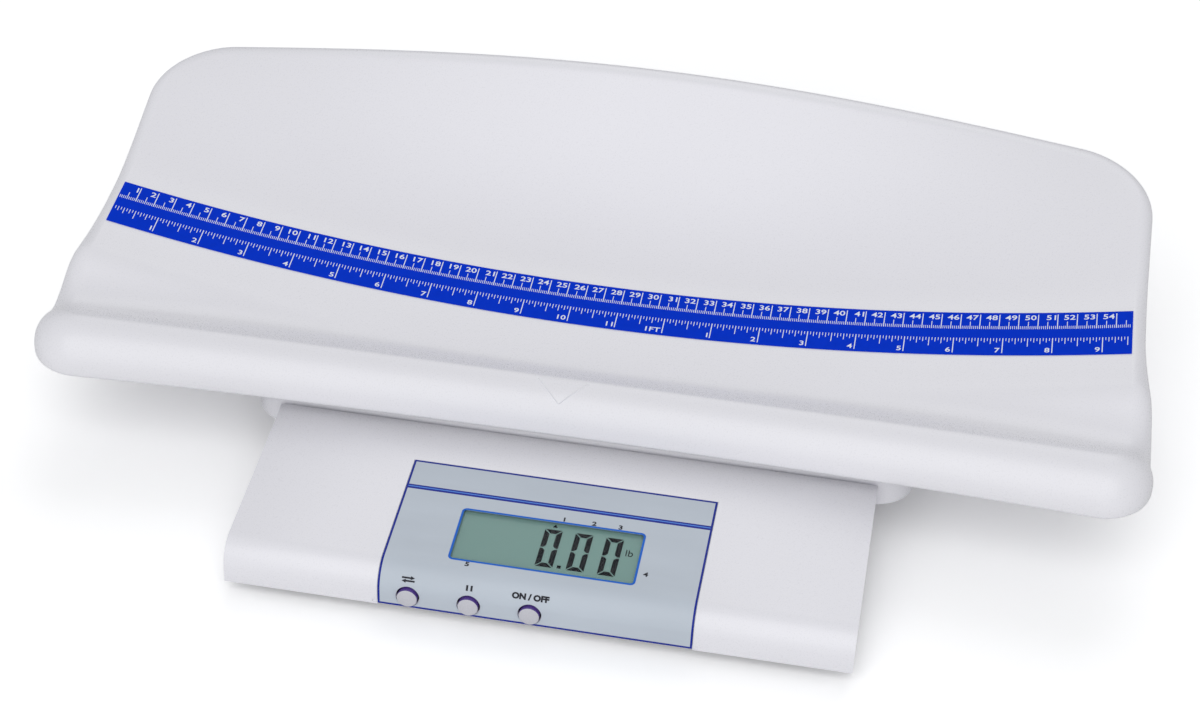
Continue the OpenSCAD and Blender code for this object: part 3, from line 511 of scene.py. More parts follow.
def give(node, material):
    """Puts a finish on a solid that stays in view."""
    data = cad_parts[node].data
    data.materials.clear()
    data.materials.append(material)


# --------------------------------------------------------------- operators
class BuildTray(bpy.types.Operator):
    """Moulded cradle tray with its raised pointer on the lip"""

    bl_idname = "baby_scale.tray"
    bl_label = "Tray"

    def execute(self, context):
        p = context.scene.baby_tray
        form = TrayForm(p)
        white = finish("tray_white", tuple(p.colour), rough=0.30, shade=0.025,
                       scale=6.0, grain=1400.0, bump=0.012)
        points, faces = tray_arrays(form)
        tray = mesh_piece("tray_shell", points, faces, "platform",
                          white, sharp=60)
        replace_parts(tray, "tray")
        self.pointer(form, white)
        return {"FINISHED"}

    def pointer(self, form, material):
        """A raised triangle on the lip's outer roll: a grid over the length
        (from the upper side to the tip) and the width of the triangle, whose
        height ramps up over a narrow bevel along its sides."""
        left, right, tip = -0.0230, 0.0044, -0.0093
        start, end = -0.0027, -0.0166
        tall = 0.0007
        t = np.concatenate([[0, 0.03], np.linspace(0.1, 0.97, 24)])[:, None]
        x0, x1 = left + (tip - left)*t, right + (tip - right)*t
        bevel = np.minimum(tall, (x1 - x0)/3)
        mid = np.linspace(0, 1, 16)[None, :]
        x = np.concatenate([x0, x0 + bevel + mid*(x1 - x0 - 2*bevel), x1], 1)
        s = start + (end - start)*t + 0*x
        rise = np.full(x.shape, tall)
        rise[:, [0, -1]] = rise[0] = rise[-1] = -0.00005
        top = lip_place(form, x, s, rise).reshape(-1, 3)
        under = lip_place(form, x, s, -0.0004).reshape(-1, 3)
        points, faces = shell(top, under, [grid_faces(*x.shape, flip=True)])
        mesh_piece("lip_pointer", points, faces, "platform",
                   material, sharp=25)


def lip_place(form, x, s, lift):
    """Points on the lip's outer roll, s metres along it (negative towards the
    front) and lifted along its normal: the crest point plus the arc."""
    r = form.ROLL_FRONT
    crest = form.front_v(x)
    a = -s/r
    return np.stack([x, form.crest + crest - (r + lift)*np.sin(a),
                     form.top(x, crest) - r + (r + lift)*np.cos(a)], -1)


class BuildTape(bpy.types.Operator):
    """Printed tape on the tray floor, with its two scales"""

    bl_idname = "baby_scale.tape"
    bl_label = "Measuring tape"
    LIFT, THICK, INK = 0.00015, 0.0004, 0.00005
    CM = (0.0197, 0.0308)      # foot and head of the centimetre marks
    INCH = (0.0126, 0.0013)    # head and foot of the inch marks
    SMALL = 0.92               # height of an inch number in centimetre numbers
    WIDE, WEIGHT = 1.2, 0.012  # stretch and boldness of the numbers

    def execute(self, context):
        self.p = context.scene.baby_tape
        self.form = TrayForm(context.scene.baby_tray)
        ground = finish("tape_ground", tuple(self.p.colour), rough=0.6,
                        shade=0.08, scale=260.0, grain=2600.0, bump=0.02,
                        Specular_IOR_Level=0.03)
        ink = finish("tape_ink", tuple(self.p.ink), rough=0.5, shade=0.05,
                     scale=500.0)
        n = 240
        s = np.linspace(0, self.p.length, n + 1)
        hi, lo = self.LIFT + self.THICK, self.LIFT
        w = self.p.width
        rings = np.stack([self.on_tape(s, np.full(n + 1, a), z) for a, z in (
            (0.0, lo), (w, lo), (w, hi), (0.75*w, hi), (0.5*w, hi),
            (0.25*w, hi), (0.0, hi))], 1)
        points, faces = loft(rings)
        tape = mesh_piece("tape_strip", points, faces, "platform",
                          ground)
        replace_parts(tape, "measuring_tape")
        self.marks(ink)
        self.numbers(ink)
        return {"FINISHED"}

    def on_tape(self, s, w, lift):
        """Points at s along the cradle's arc and w across it: x is R times
        the sine of the arc angle, v follows the sloped floor."""
        f = self.form
        x = f.radius*np.sin((s - self.p.length/2)/f.radius)
        v = f.TAPE_V + w*math.cos(math.atan(f.tape_m))
        return f.place(x, v, lift)

    def bars(self, s, w0, w1, wide):
        """Thin closed bars across the tape, one for each s: eight corners
        from two offsets along s, two ends and two heights."""
        base = self.LIFT + self.THICK
        corners = []
        for lift in (base - self.INK, base + self.INK):
            for ds, w in ((-1, w0), (1, w0), (1, w1), (-1, w1)):
                corners.append(self.on_tape(s + ds*wide/2, w, lift))
        points = np.stack(corners, 1).reshape(-1, 3)
        box = np.array([[0, 3, 2, 1], [4, 5, 6, 7], [0, 1, 5, 4],
                        [1, 2, 6, 5], [2, 3, 7, 6], [3, 0, 4, 7]])
        quads = (np.arange(len(s))[:, None, None]*8 + box[None]).reshape(-1, 4)
        return points, quads

    def marks(self, ink):
        """Centimetre marks grow up from their row, inch marks hang down."""
        parts = []
        mm = np.arange(1, int(self.p.length/MM))
        foot, head = self.CM
        for keep, top, wide in ((mm % 10 == 0, head, 0.00048),
                                (mm % 10 == 5, foot + 0.0055, 0.00038),
                                (mm % 5 != 0, foot + 0.0022, 0.00032)):
            s = mm[keep]*MM
            parts.append(self.bars(s, foot + 0*s, top + 0*s, wide))
        step = 0.0254/16
        k = np.arange(1, int(self.p.length/step))
        head, foot = self.INCH
        for keep, drop, wide in (
                (k % 16 == 0, head - foot, 0.00048),
                (k % 16 == 8, 0.0063, 0.0004), (k % 8 == 4, 0.0044, 0.00038),
                (k % 4 == 2, 0.0032, 0.00036), (k % 2 == 1, 0.0021, 0.00034)):
            s = k[keep]*step
            parts.append(self.bars(s, head - drop + 0*s, head + 0*s, wide))
        points, quads = join(parts)
        mesh_piece("tape_marks", points, [quads], "platform",
                   ink, smooth=False)

    def numbers(self, ink):
        """Numbers to the left of their marks, bent onto the cradle."""
        tall = self.p.numeral
        made = []
        for k in range(1, 55):
            made.append(flat_text(str(k), tall, self.WIDE,
                                  self.CM[1] - tall - 0.0003, self.WEIGHT,
                                  right=k*0.01 - 0.0010))
        for k in range(1, 22):
            word = "1FT" if k == 12 else str(k % 12)
            made.append(flat_text(word, tall*self.SMALL, self.WIDE, 0.0018,
                                  self.WEIGHT, right=k*0.0254 - 0.0012))
        points, tris = join(made)
        lift = self.LIFT + self.THICK + np.where(points[:, 2] > 0, self.INK,
                                                 -self.INK)
        bent = self.on_tape(points[:, 0], points[:, 1], lift)
        mesh_piece("tape_numbers", bent, [tris], "platform", ink,
                   smooth=False)


FONT_CAPITAL, FONT_THICK = 0.74, 0.01    # height and half thickness at size 1


def flat_text(word, tall, wide, foot, weight, right=None, centre=None):
    """A word as a thin flat solid in the XY plane: the built-in font's curves,
    thickened, filled, made a mesh, then scaled to a height and placed."""
    curve = bpy.data.curves.new("word", "FONT")
    curve.body = word
    curve.size = 1.0
    curve.offset = weight
    curve.resolution_u = 3
    curve.extrude = FONT_THICK
    obj = bpy.data.objects.new("word", curve)
    bpy.context.scene.collection.objects.link(obj)
    bpy.context.view_layer.update()
    mesh = bpy.data.meshes.new_from_object(obj)
    bpy.data.objects.remove(obj)
    bpy.data.curves.remove(curve)
    mesh.calc_loop_triangles()
    points = np.empty(len(mesh.vertices)*3, np.float32)
    mesh.vertices.foreach_get("co", points)
    tris = np.empty(len(mesh.loop_triangles)*3, np.int32)
    mesh.loop_triangles.foreach_get("vertices", tris)
    bpy.data.meshes.remove(mesh)
    points = points.reshape(-1, 3).astype(float)
    tris = tris.reshape(-1, 3)
    k = tall / FONT_CAPITAL
    points[:, 0] *= k*wide
    points[:, 1] *= k
    span = points[:, 0].min(), points[:, 0].max()
    if right is not None:
        points[:, 0] += right - span[1]
    if centre is not None:
        points[:, 0] += centre - sum(span)/2
    points[:, 1] += foot - max(points[:, 1].min(), -FONT_THICK*k)
    return points, tris


# --------------------------------------------------------------- console
class ConsoleForm:
    """The console's front skin as a line carried along X: an upright face, a
    round-over of radius r and a top face sloped by a few degrees. A place on
    it is the length u along that line, with u = 0 where the slope starts."""

    RADIUS = 0.013
    SLOPE = math.radians(6)
    TOP_Z = 0.0295

    def __init__(self):
        r, s = self.RADIUS, self.SLOPE
        self.arc_y = FRONT_Y + r
        self.arc_z = self.TOP_Z - r*math.cos(s)
        self.start_y = self.arc_y - r*math.sin(s)
        self.turn = math.pi/2 - s

    def at(self, u, lift=0.0):
        """Y, Z at u, lifted off the skin along its own normal."""
        u = np.asarray(u, float)
        r, s = self.RADIUS, self.SLOPE
        y = self.start_y + u*math.cos(s) - lift*math.sin(s)
        z = self.TOP_Z + u*math.sin(s) + lift*math.cos(s)
        a = np.pi/2 + s + np.clip(-u, 0, self.turn*r)/r
        ya = self.arc_y + (r + lift)*np.cos(a)
        za = self.arc_z + (r + lift)*np.sin(a)
        below = np.maximum(-u - self.turn*r, 0)
        return (np.where(u > 0, y, ya), np.where(u > 0, z, za - below))

    def u_of_z(self, z):
        """The place at height z on the upright face or the round-over."""
        lift = np.clip((z - self.arc_z)/self.RADIUS, 0, 1)
        return (self.RADIUS*(np.arcsin(lift) - self.turn)
                - np.maximum(self.arc_z - z, 0))

    def place(self, x, u, lift=0.0):
        """Points on the skin."""
        x, u = np.broadcast_arrays(np.asarray(x, float), np.asarray(u, float))
        y, z = self.at(u, lift)
        return np.stack([x, y, z], -1)

    def lay(self, name, parts, upper, lower, slot, material):
        """Joins flat solids drawn in (x, u) and lays them on the skin, their
        two faces lifted along its normal."""
        points, faces = join(parts)
        lift = np.where(points[:, 2] > 0, upper, lower)
        mesh_piece(name, self.place(points[:, 0], points[:, 1], lift), [faces],
                   "base", material, smooth=False)


MERGE = 2e-6                        # distance of points that are one
FLAT, CREASE = math.radians(0.4), 0.6    # angles of flat and sharp edges


def softened(node, name, width, material):
    """A copy of a solid with its loose triangles merged, its flat faces
    joined and its sharp edges given a small round."""
    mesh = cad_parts[node].data.copy()
    bm = bmesh.new()
    bm.from_mesh(mesh)
    bmesh.ops.remove_doubles(bm, verts=bm.verts, dist=MERGE)
    bmesh.ops.dissolve_limit(bm, angle_limit=FLAT, verts=bm.verts,
                             edges=bm.edges)
    edges = [e for e in bm.edges
             if len(e.link_faces) == 2 and e.calc_face_angle(0) > CREASE]
    if width > 0:
        bmesh.ops.bevel(bm, geom=edges, offset=width, segments=2, profile=0.6,
                        affect="EDGES", clamp_overlap=True)
    bmesh.ops.triangulate(bm, faces=[f for f in bm.faces if len(f.verts) > 4])
    bm.to_mesh(mesh)
    bm.free()
    mesh.name = name
    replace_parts(dress(name, mesh, "base", material, sharp=30), node)


class BuildHousing(bpy.types.Operator):
    """Console and deck moulding, base plate, door and platform cover"""

    bl_idname = "baby_scale.housing"
    bl_label = "Housing"

    def execute(self, context):
        p = context.scene.baby_console
        white = finish("housing_white", tuple(p.white), rough=0.30,
                       shade=0.025, scale=8.0, grain=1500.0, bump=0.012)
        softened("upper_housing", "housing_shell", p.edge, white)
        self.cover(white)
        under = finish("base_grey", (0.66, 0.66, 0.69), rough=0.5, shade=0.05,
                       scale=12.0, grain=1100.0, bump=0.10)
        for node in ("base_plate", "battery_door", "battery_holder",
                     "lcd_holder", "tray_mounts"):
            give(node, under)
        return {"FINISHED"}

    def cover(self, material):
        """The platform cover: a rounded rectangle carried up the skirt, over
        a quarter-round edge to the top, and back down inside the wall."""
        lo, hi = low("platform_cover"), high("platform_cover")
        mid = (lo + hi)/2
        length, depth = hi.x - lo.x, hi.y - lo.y
        wall, corner, edge, lip = 0.0025, 0.022, 0.004, 0.0005
        a = np.linspace(0, math.pi/2, 9)
        steps = [(wall, hi.z - wall), (wall, lo.z + lip), (wall - lip, lo.z),
                 (lip, lo.z), (0.0, lo.z + lip)]
        steps += [(edge*(1 - math.cos(q)), hi.z - edge*(1 - math.sin(q)))
                  for q in a]
        rings = []
        for inset, z in steps:
            flat = round_rect(length - 2*inset, depth - 2*inset, corner - inset)
            rings.append(np.column_stack([flat + [mid.x, mid.y],
                                          np.full(len(flat), z)]))
        points, faces = loft(np.stack(rings))
        cover = mesh_piece("platform_shell", points, faces, "platform",
                           material)
        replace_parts(cover, "platform_cover")


class BuildOverlay(bpy.types.Operator):
    """Printed overlay with its border, lines and marks"""

    bl_idname = "baby_scale.overlay"
    bl_label = "Overlay"
    HALF, UP = 0.077, 0.0668   # half width, upper edge
    BACK = 0.0006              # thickness of the foil
    INK = 0.00006              # of a print over and under the foil's face
    HOLE = 0.0059              # radius of a button's hole
    WINDOW = (0.0452, 0.0035, 0.0375)   # half width, near and far edge
    FRAME_LINE = 0.0011
    # middle and width of the header's three lines
    HEADER = ((0.04903, 0.0010), (0.04823, 0.0006), (0.04733, 0.0012))
    SIGN_U, SIGN_PROUD, WORD_TALL = -0.0114, 0.00016, 0.0029
    TIP_TALL = 0.0028
    # places of the small numbers
    TIPS = ((0.0047, 0.0400), (0.0196, 0.0400), (0.0327, 0.0400),
            (0.0499, 0.0112), (-0.0357, 0.0012))

    def execute(self, context):
        self.p = context.scene.baby_console
        self.form = ConsoleForm()
        self.foot = float(self.form.u_of_z(low("overlay_panel").z))
        silver = finish("overlay_silver", tuple(self.p.silver), rough=0.42,
                        shade=0.05, scale=18.0, grain=2400.0, bump=0.01,
                        stretch=(1, 4, 4), Specular_IOR_Level=0.3)
        self.blue, self.sky, self.pale, self.dark = (
            finish(name, colour, rough=0.4, shade=shade, scale=scale,
                   Specular_IOR_Level=0.2)
            for name, colour, shade, scale in (
                ("line_blue", tuple(self.p.blue), 0.10, 300.0),
                ("line_sky", (0.008, 0.135, 0.62), 0.10, 300.0),
                ("line_pale", (0.10, 0.27, 0.80), 0.05, 300.0),
                ("ink_dark", (0.02, 0.02, 0.03), 0.2, 500.0)))
        self.sheet(silver)
        self.lines()
        self.signs()
        return {"FINISHED"}

    def sheet(self, material):
        """The foil: a grid over (x, u) without the cells of the window and of
        a square around each button. Each square is filled by a ring of faces
        from its edge to the hole, a circle seen from the front."""
        z0 = (low(CAPS[0]).z + high(CAPS[0]).z)/2
        wx, u0, u1 = self.WINDOW
        reach, steps = 0.0068, 14
        cuts = [np.linspace(c - reach, c + reach, steps + 1) for c in CAP_X]
        x = np.unique(np.round(np.concatenate(
            [*cuts, np.linspace(-self.HALF, self.HALF, 12),
             np.linspace(-wx, wx, 5)]), 7))
        inside = sum((x > c[0] + 1e-6) & (x < c[-1] - 1e-6) for c in cuts) > 0
        own = np.isin(x, np.round(np.concatenate(cuts), 7))
        x = x[~inside | own]
        lo, hi = self.foot + 0.0002, self.form.u_of_z(z0 + reach)
        u = np.concatenate([[self.foot], np.linspace(lo, hi, steps + 1),
                            np.linspace(hi, 0, 30)[1:], [u0],
                            np.linspace(u0, u1, 5)[1:], [self.UP]])
        rows, cols = len(u), len(x)
        quads = grid_faces(rows, cols).reshape(rows - 1, cols - 1, 4)
        xm, um = (x[1:] + x[:-1])[None]/2, (u[1:] + u[:-1])[:, None]/2
        gone = (np.abs(xm) < wx) & (um > u0) & (um < u1)
        row = slice(1, steps + 2)
        flat_x, flat_u = [np.tile(x, rows)], [np.repeat(u, cols)]
        faces, spare = [], rows*cols
        index = np.arange(rows*cols).reshape(rows, cols)
        for c in cuts:
            first = int(np.searchsorted(x, c[0] - 1e-6))
            square = index[row, first:first + steps + 1]
            gone |= ((xm > c[0]) & (xm < c[-1]) & (um > lo) & (um < hi))
            rim = np.concatenate([square[0, :-1], square[:-1, -1],
                                  square[-1, :0:-1], square[:0:-1, 0]])
            mid = (c[0] + c[-1])/2
            z = self.form.place(0.0, u)[:, 2]
            turn = np.arctan2(z[rim // cols] - z0, x[rim % cols] - mid)
            flat_x.append(mid + self.HOLE*np.cos(turn))
            flat_u.append(self.form.u_of_z(z0 + self.HOLE*np.sin(turn)))
            k = np.arange(len(rim))
            nxt = (k + 1) % len(rim)
            faces.append(np.stack([rim, rim[nxt], spare + nxt, spare + k], -1))
            spare += len(rim)
        faces.insert(0, quads[~gone])
        px, pu = np.concatenate(flat_x), np.concatenate(flat_u)
        points, faces = shell(self.form.place(px, pu),
                              self.form.place(px, pu, -self.BACK), faces)
        sheet = mesh_piece("overlay_sheet", points, faces, "base",
                           material, sharp=50)
        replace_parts(sheet, "overlay_panel")

    def strip(self, name, path, wide, material, closed=True):
        """A printed line: a flat ribbon of a width, carried along a path of
        (x, u) places on the skin, its outer edge mitred at the corners."""
        path = np.asarray(path, float)
        if closed:
            ahead = np.roll(path, -1, 0) - path
            back = path - np.roll(path, 1, 0)
        else:
            step = np.diff(path, axis=0)
            ahead = np.concatenate([step, step[-1:]])
            back = np.concatenate([step[:1], step])
        a = ahead/np.linalg.norm(ahead, axis=1)[:, None]
        b = back/np.linalg.norm(back, axis=1)[:, None]
        side = np.stack([-(a + b)[:, 1], (a + b)[:, 0]], -1)
        side /= np.maximum((side*np.stack([-a[:, 1], a[:, 0]], -1)).sum(1),
                           1e-9)[:, None]
        ring = []
        for off, lift in ((-.5, -self.INK), (.5, -self.INK), (.5, self.INK),
                          (-.5, self.INK)):
            spot = path + side*off*wide
            ring.append(self.form.place(spot[:, 0], spot[:, 1], lift))
        rings = np.stack(ring, 1)
        if closed:
            rings = np.concatenate([rings, rings[:1]])
        points, faces = loft(rings, close=not closed)
        mesh_piece(name, points, faces, "base", material,
                   smooth=False)

    def rect(self, half, u0, u1, corner=0.0, rows=90):
        """Outline of a rectangle on the skin, with many points up its sides
        so that it follows the round-over."""
        if corner > 0:
            return round_rect(2*half, u1 - u0, corner, 6) + [0, (u0 + u1)/2]
        up = np.linspace(u0, u1, rows)
        return np.concatenate([
            np.column_stack([np.full(rows, half), up]),
            np.column_stack([np.full(rows, -half), up[::-1]])])

    def lines(self):
        """Border, header lines and window frame."""
        p, w = self.p, self.p.line
        self.strip("overlay_border", self.rect(
            self.HALF - w/2, self.foot + w/2, self.UP - w/2), w, self.blue)
        half = self.HALF - w
        for k, (u, wide) in enumerate(self.HEADER):
            self.strip(f"overlay_header_{k}", [[-half, u], [half, u]], wide,
                       self.pale if k == 1 else self.blue, closed=False)
        wx, u0, u1 = self.WINDOW
        self.strip("window_frame", self.rect(
            wx + 0.0002, u0 - 0.0002, u1 + 0.0002, 0.002), self.FRAME_LINE,
            self.sky)

    def signs(self):
        """Plain signs over the buttons: two arrows, two bars, ON / OFF, and
        plain numbers where the display's pointers aim."""
        u, x = self.SIGN_U, CAP_X
        arrows = [flat_poly(np.array(s)*MM + [x[0], u]) for s in (
            [(-3.2, .35), (1.2, .35), (1.2, -.15), (3.2, .8), (1.2, 1.75),
             (1.2, 1.15), (-3.2, 1.15)],
            [(3.2, -.35), (-1.2, -.35), (-1.2, .15), (-3.2, -.8),
             (-1.2, -1.75), (-1.2, -1.15), (3.2, -1.15)])]
        bars = [flat_rect(x[1] + a, u, 0.0005, 0.00135)
                for a in (-0.0011, 0.0011)]
        word = flat_text("ON / OFF", self.WORD_TALL, 1.10, centre=x[2],
                         foot=u - self.WORD_TALL/2, weight=0.055)
        tips = [flat_text(str(k + 1), self.TIP_TALL, 1.2, centre=a,
                          foot=b - self.TIP_TALL/2, weight=0.035)
                for k, (a, b) in enumerate(self.TIPS)]
        for name, parts, proud in (
                ("button_signs", arrows + bars + [word], self.SIGN_PROUD),
                ("pointer_numbers", tips, self.INK)):
            self.form.lay(name, parts, proud, -self.INK, "overlay_silver",
                          self.dark)


def flat_rect(x, y, half_x, half_y):
    """A flat solid rectangle around a middle."""
    return flat_poly(np.array([
        (x - half_x, y - half_y), (x + half_x, y - half_y),
        (x + half_x, y + half_y), (x - half_x, y + half_y)]))


def flat_poly(outline):
    """A flat solid in the XY plane from an outline: top and bottom face and a
    wall around them, all as triangles."""
    n = len(outline)
    tris = np.array(tessellate_polygon([[(a, b, 0) for a, b in outline]]))
    area = 0.5*sum(outline[i][0]*outline[(i + 1) % n][1]
                   - outline[(i + 1) % n][0]*outline[i][1] for i in range(n))
    e1 = outline[tris[:, 1]] - outline[tris[:, 0]]
    e2 = outline[tris[:, 2]] - outline[tris[:, 0]]
    flip = (e1[:, 0]*e2[:, 1] - e1[:, 1]*e2[:, 0]) < 0
    tris[flip] = tris[flip][:, ::-1]
    points = np.concatenate([np.column_stack([outline, np.full(n, -1.0)]),
                             np.column_stack([outline, np.full(n, 1.0)])])
    i = np.arange(n)
    j = (i + 1) % n
    wall = np.concatenate([np.stack([i, j, j + n], -1),
                           np.stack([i, j + n, i + n], -1)])
    if area < 0:
        wall = wall[:, ::-1]
    return points, np.concatenate([tris + n, tris[:, ::-1], wall])


class BuildDisplay(bpy.types.Operator):
    """Display glass with its segments, and the clear window over it"""

    bl_idname = "baby_scale.display"
    bl_label = "Display"
    THICK = 0.0027       # thickness of a segment
    GAP = 0.0004         # gap between segments
    WIDE = 0.0088        # width of a digit
    LEAN = 0.02          # lean of the digits to the right
    LEFT, FOOT = -0.0041, 0.0081
    DEPTH = -0.0017      # of the display's face under the overlay
    PROUD = 0.00006      # of the ink over the display's face
    DOT, DOT_HALF = (0.0077, FOOT + 0.0013), 0.0010
    POINTER = ((-.0013, -.0010), (.0013, -.0010), (0.0, .0011))
    POINTER_AT = (0.0010, 0.0362)
    UNIT, UNIT_TALL = (0.0397, 0.0228), 0.0046

    def execute(self, context):
        p = context.scene.baby_console
        self.form = ConsoleForm()
        field = finish("lcd_field", tuple(p.glass), rough=0.45, shade=0.03,
                       scale=14.0, grain=1800.0, bump=0.01,
                       Specular_IOR_Level=0.15)
        give("lcd_panel", field)
        ink = finish("lcd_ink", (0.004, 0.006, 0.010), rough=0.5, shade=0.3,
                     scale=900.0, Specular_IOR_Level=0.05)
        give("display_window", clear_window("window_clear", (0.9, 0.95, 0.95)))
        self.digits(p, ink)
        return {"FINISHED"}

    def digits(self, p, ink):
        """0.00 in seven-segment shapes, a point, a pointer and the unit."""
        parts = []
        for k in range(3):
            left = self.LEFT + k*p.pitch
            for outline in segments(self.WIDE, p.digit, self.THICK, self.GAP):
                o = np.array(outline)
                o[:, 0] += o[:, 1]*self.LEAN + left
                o[:, 1] += self.FOOT
                parts.append(flat_poly(o))
        parts.append(flat_rect(*self.DOT, self.DOT_HALF, self.DOT_HALF))
        parts.append(flat_poly(np.array(self.POINTER) + self.POINTER_AT))
        parts.append(flat_text("lb", self.UNIT_TALL, 0.95, centre=self.UNIT[0],
                               foot=self.UNIT[1], weight=0.0))
        self.form.lay("lcd_segments", parts, self.DEPTH + self.PROUD,
                      self.DEPTH - self.PROUD/2, "lcd_green", ink)


def segments(wide, tall, thick, gap):
    """Outlines of the six outer segments of a digit 0: bars with bevelled
    ends, drawn from (0, 0) to (wide, tall)."""
    t, g, m = thick, gap, tall/2
    top = [(g, tall), (wide - g, tall), (wide - t - g, tall - t),
           (t + g, tall - t)]
    left = [(0, m + g), (0, tall - g), (t, tall - t - g), (t, m + t/2 + g),
            (t/2, m + g)]
    flip_y = [(x, tall - y) for x, y in top]
    down = [(x, tall - y) for x, y in left]
    return [top, left, [(wide - x, y) for x, y in left], flip_y, down,
            [(wide - x, y) for x, y in down]]


class BuildButtons(bpy.types.Operator):
    """Three domed push buttons and their rims"""

    bl_idname = "baby_scale.buttons"
    bl_label = "Buttons"
    SKIRT, STEM = 0.00415, 0.002    # reach behind the front, stem's radius
    CROWN, EDGE = 0.00035, 0.0006   # height of the dome, radius of the edge

    def execute(self, context):
        cap = finish("cap_silver", (0.58, 0.58, 0.63), rough=0.26, shade=0.05,
                     scale=120.0, grain=2200.0, bump=0.03,
                     Specular_IOR_Level=0.3)
        # The caps' sides are painted dark violet: painted shade of the gap
        # between each cap and its hole.
        side = finish("cap_side_painted_shade", (0.10, 0.05, 0.30), rough=0.25,
                      shade=0.2, scale=120.0, Specular_IOR_Level=0.6)
        for node in CAPS:
            lo, hi = low(node), high(node)
            x, z = (lo.x + hi.x)/2, (lo.z + hi.z)/2
            r = (hi.z - lo.z)/2
            y0, deep = lo.y, FRONT_Y + self.SKIRT - lo.y
            a = np.linspace(0, math.pi/2, 8)
            crown, edge = self.CROWN, self.EDGE
            t = np.linspace(0.02, 1, 7)
            prof = [((r - edge)*q, crown*q*q) for q in t]
            prof += [(r - edge + edge*math.sin(q),
                      crown + edge*(1 - math.cos(q))) for q in a[1:]]
            prof += [(r, deep), (self.STEM, deep), (self.STEM, hi.y - y0)]
            turn = np.linspace(0, 2*math.pi, 48, endpoint=False)
            prof = np.array(prof)
            rings = np.stack([
                x + prof[:, :1]*np.cos(turn), y0 + prof[:, 1:] + 0*turn,
                z + prof[:, :1]*np.sin(turn)], -1)
            points, faces = loft(rings)
            piece = mesh_piece(node + "_cap", points,
                               [f[:, ::-1] for f in faces], node,
                               cap, sharp=50)
            piece.data.materials.append(side)
            centre = np.empty(len(piece.data.polygons)*3, np.float32)
            piece.data.polygons.foreach_get("center", centre)
            # Faces behind the cap's front edge (its side and stem) take the
            # painted shade.
            back = centre[1::3] > y0 + crown + edge*0.6
            piece.data.polygons.foreach_set("material_index",
                                            back.astype(np.int32))
            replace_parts(piece, node)
        return {"FINISHED"}


class BuildInside(bpy.types.Operator):
    """Finishes of the frame, load cell, boards, batteries, screws and feet"""

    bl_idname = "baby_scale.inside"
    bl_label = "Inside parts"
    METAL = {"Metallic": 1.0}
    # name, colour, roughness, shade, scale of the clouds, more, solids
    TABLE = (
        ("sheet_steel", (0.55, 0.56, 0.58), 0.38, 0.12, 40.0,
         {"stretch": (1, 12, 1), **METAL},
         "platform_frame cell_spacer_top cell_spacer_bottom"),
        ("zinc_plate", (0.66, 0.66, 0.64), 0.3, 0.15, 300.0, METAL,
         "tray_screws overload_stops housing_screws board_screws"),
        ("black_oxide", (0.06, 0.06, 0.065), 0.4, 0.2, 300.0,
         {"Metallic": 0.9}, "cell_bolts_top cell_bolts_bottom"),
        ("milled_aluminium", (0.77, 0.78, 0.79), 0.3, 0.06, 60.0,
         {"stretch": (1, 30, 30), **METAL}, "load_cell"),
        ("gauge_seal", (0.85, 0.85, 0.80), 0.45, 0.08, 200.0,
         {"bump": 0.3, "grain": 400.0}, "strain_gauges"),
        ("foot_rubber", (0.03, 0.03, 0.032), 0.75, 0.2, 150.0, {"bump": 0.3},
         "rubber_feet"),
        ("board_green", (0.02, 0.13, 0.055), 0.35, 0.3, 420.0,
         {"stretch": (1, 3, 1), "Coat_Weight": 0.4}, "main_board key_board"),
        ("switch_black", (0.02, 0.02, 0.022), 0.45, 0.2, 300.0, {},
         "tact_switches"),
        ("battery_wrap", (0.03, 0.035, 0.05), 0.25, 0.2, 90.0,
         {"Metallic": 0.3, "Coat_Weight": 0.5}, "batteries"),
        ("contact_nickel", (0.72, 0.70, 0.65), 0.22, 0.1, 200.0, METAL,
         "battery_contacts"),
        ("lead_grey", (0.05, 0.05, 0.055), 0.55, 0.1, 200.0, {}, "cell_cable"),
        ("lead_red", (0.35, 0.02, 0.015), 0.5, 0.1, 200.0, {},
         "battery_leads"))

    def execute(self, context):
        for name, colour, rough, shade, scale, more, nodes in self.TABLE:
            material = finish(name, colour, rough=rough, shade=shade,
                              scale=scale, **more)
            for node in nodes.split():
                give(node, material)
        return {"FINISHED"}


def seen_mix(tree, plain, seen, out):
    """One shader for the light's own paths, another for the camera's view."""
    path = tree.nodes.new("ShaderNodeLightPath")
    mix = tree.nodes.new("ShaderNodeMixShader")
    tree.links.new(path.outputs["Is Camera Ray"], mix.inputs[0])
    for k, shader in enumerate((plain, seen)):
        tree.links.new(shader.outputs[0], mix.inputs[k + 1])
    tree.links.new(mix.outputs[0], tree.nodes.new(out).inputs["Surface"])


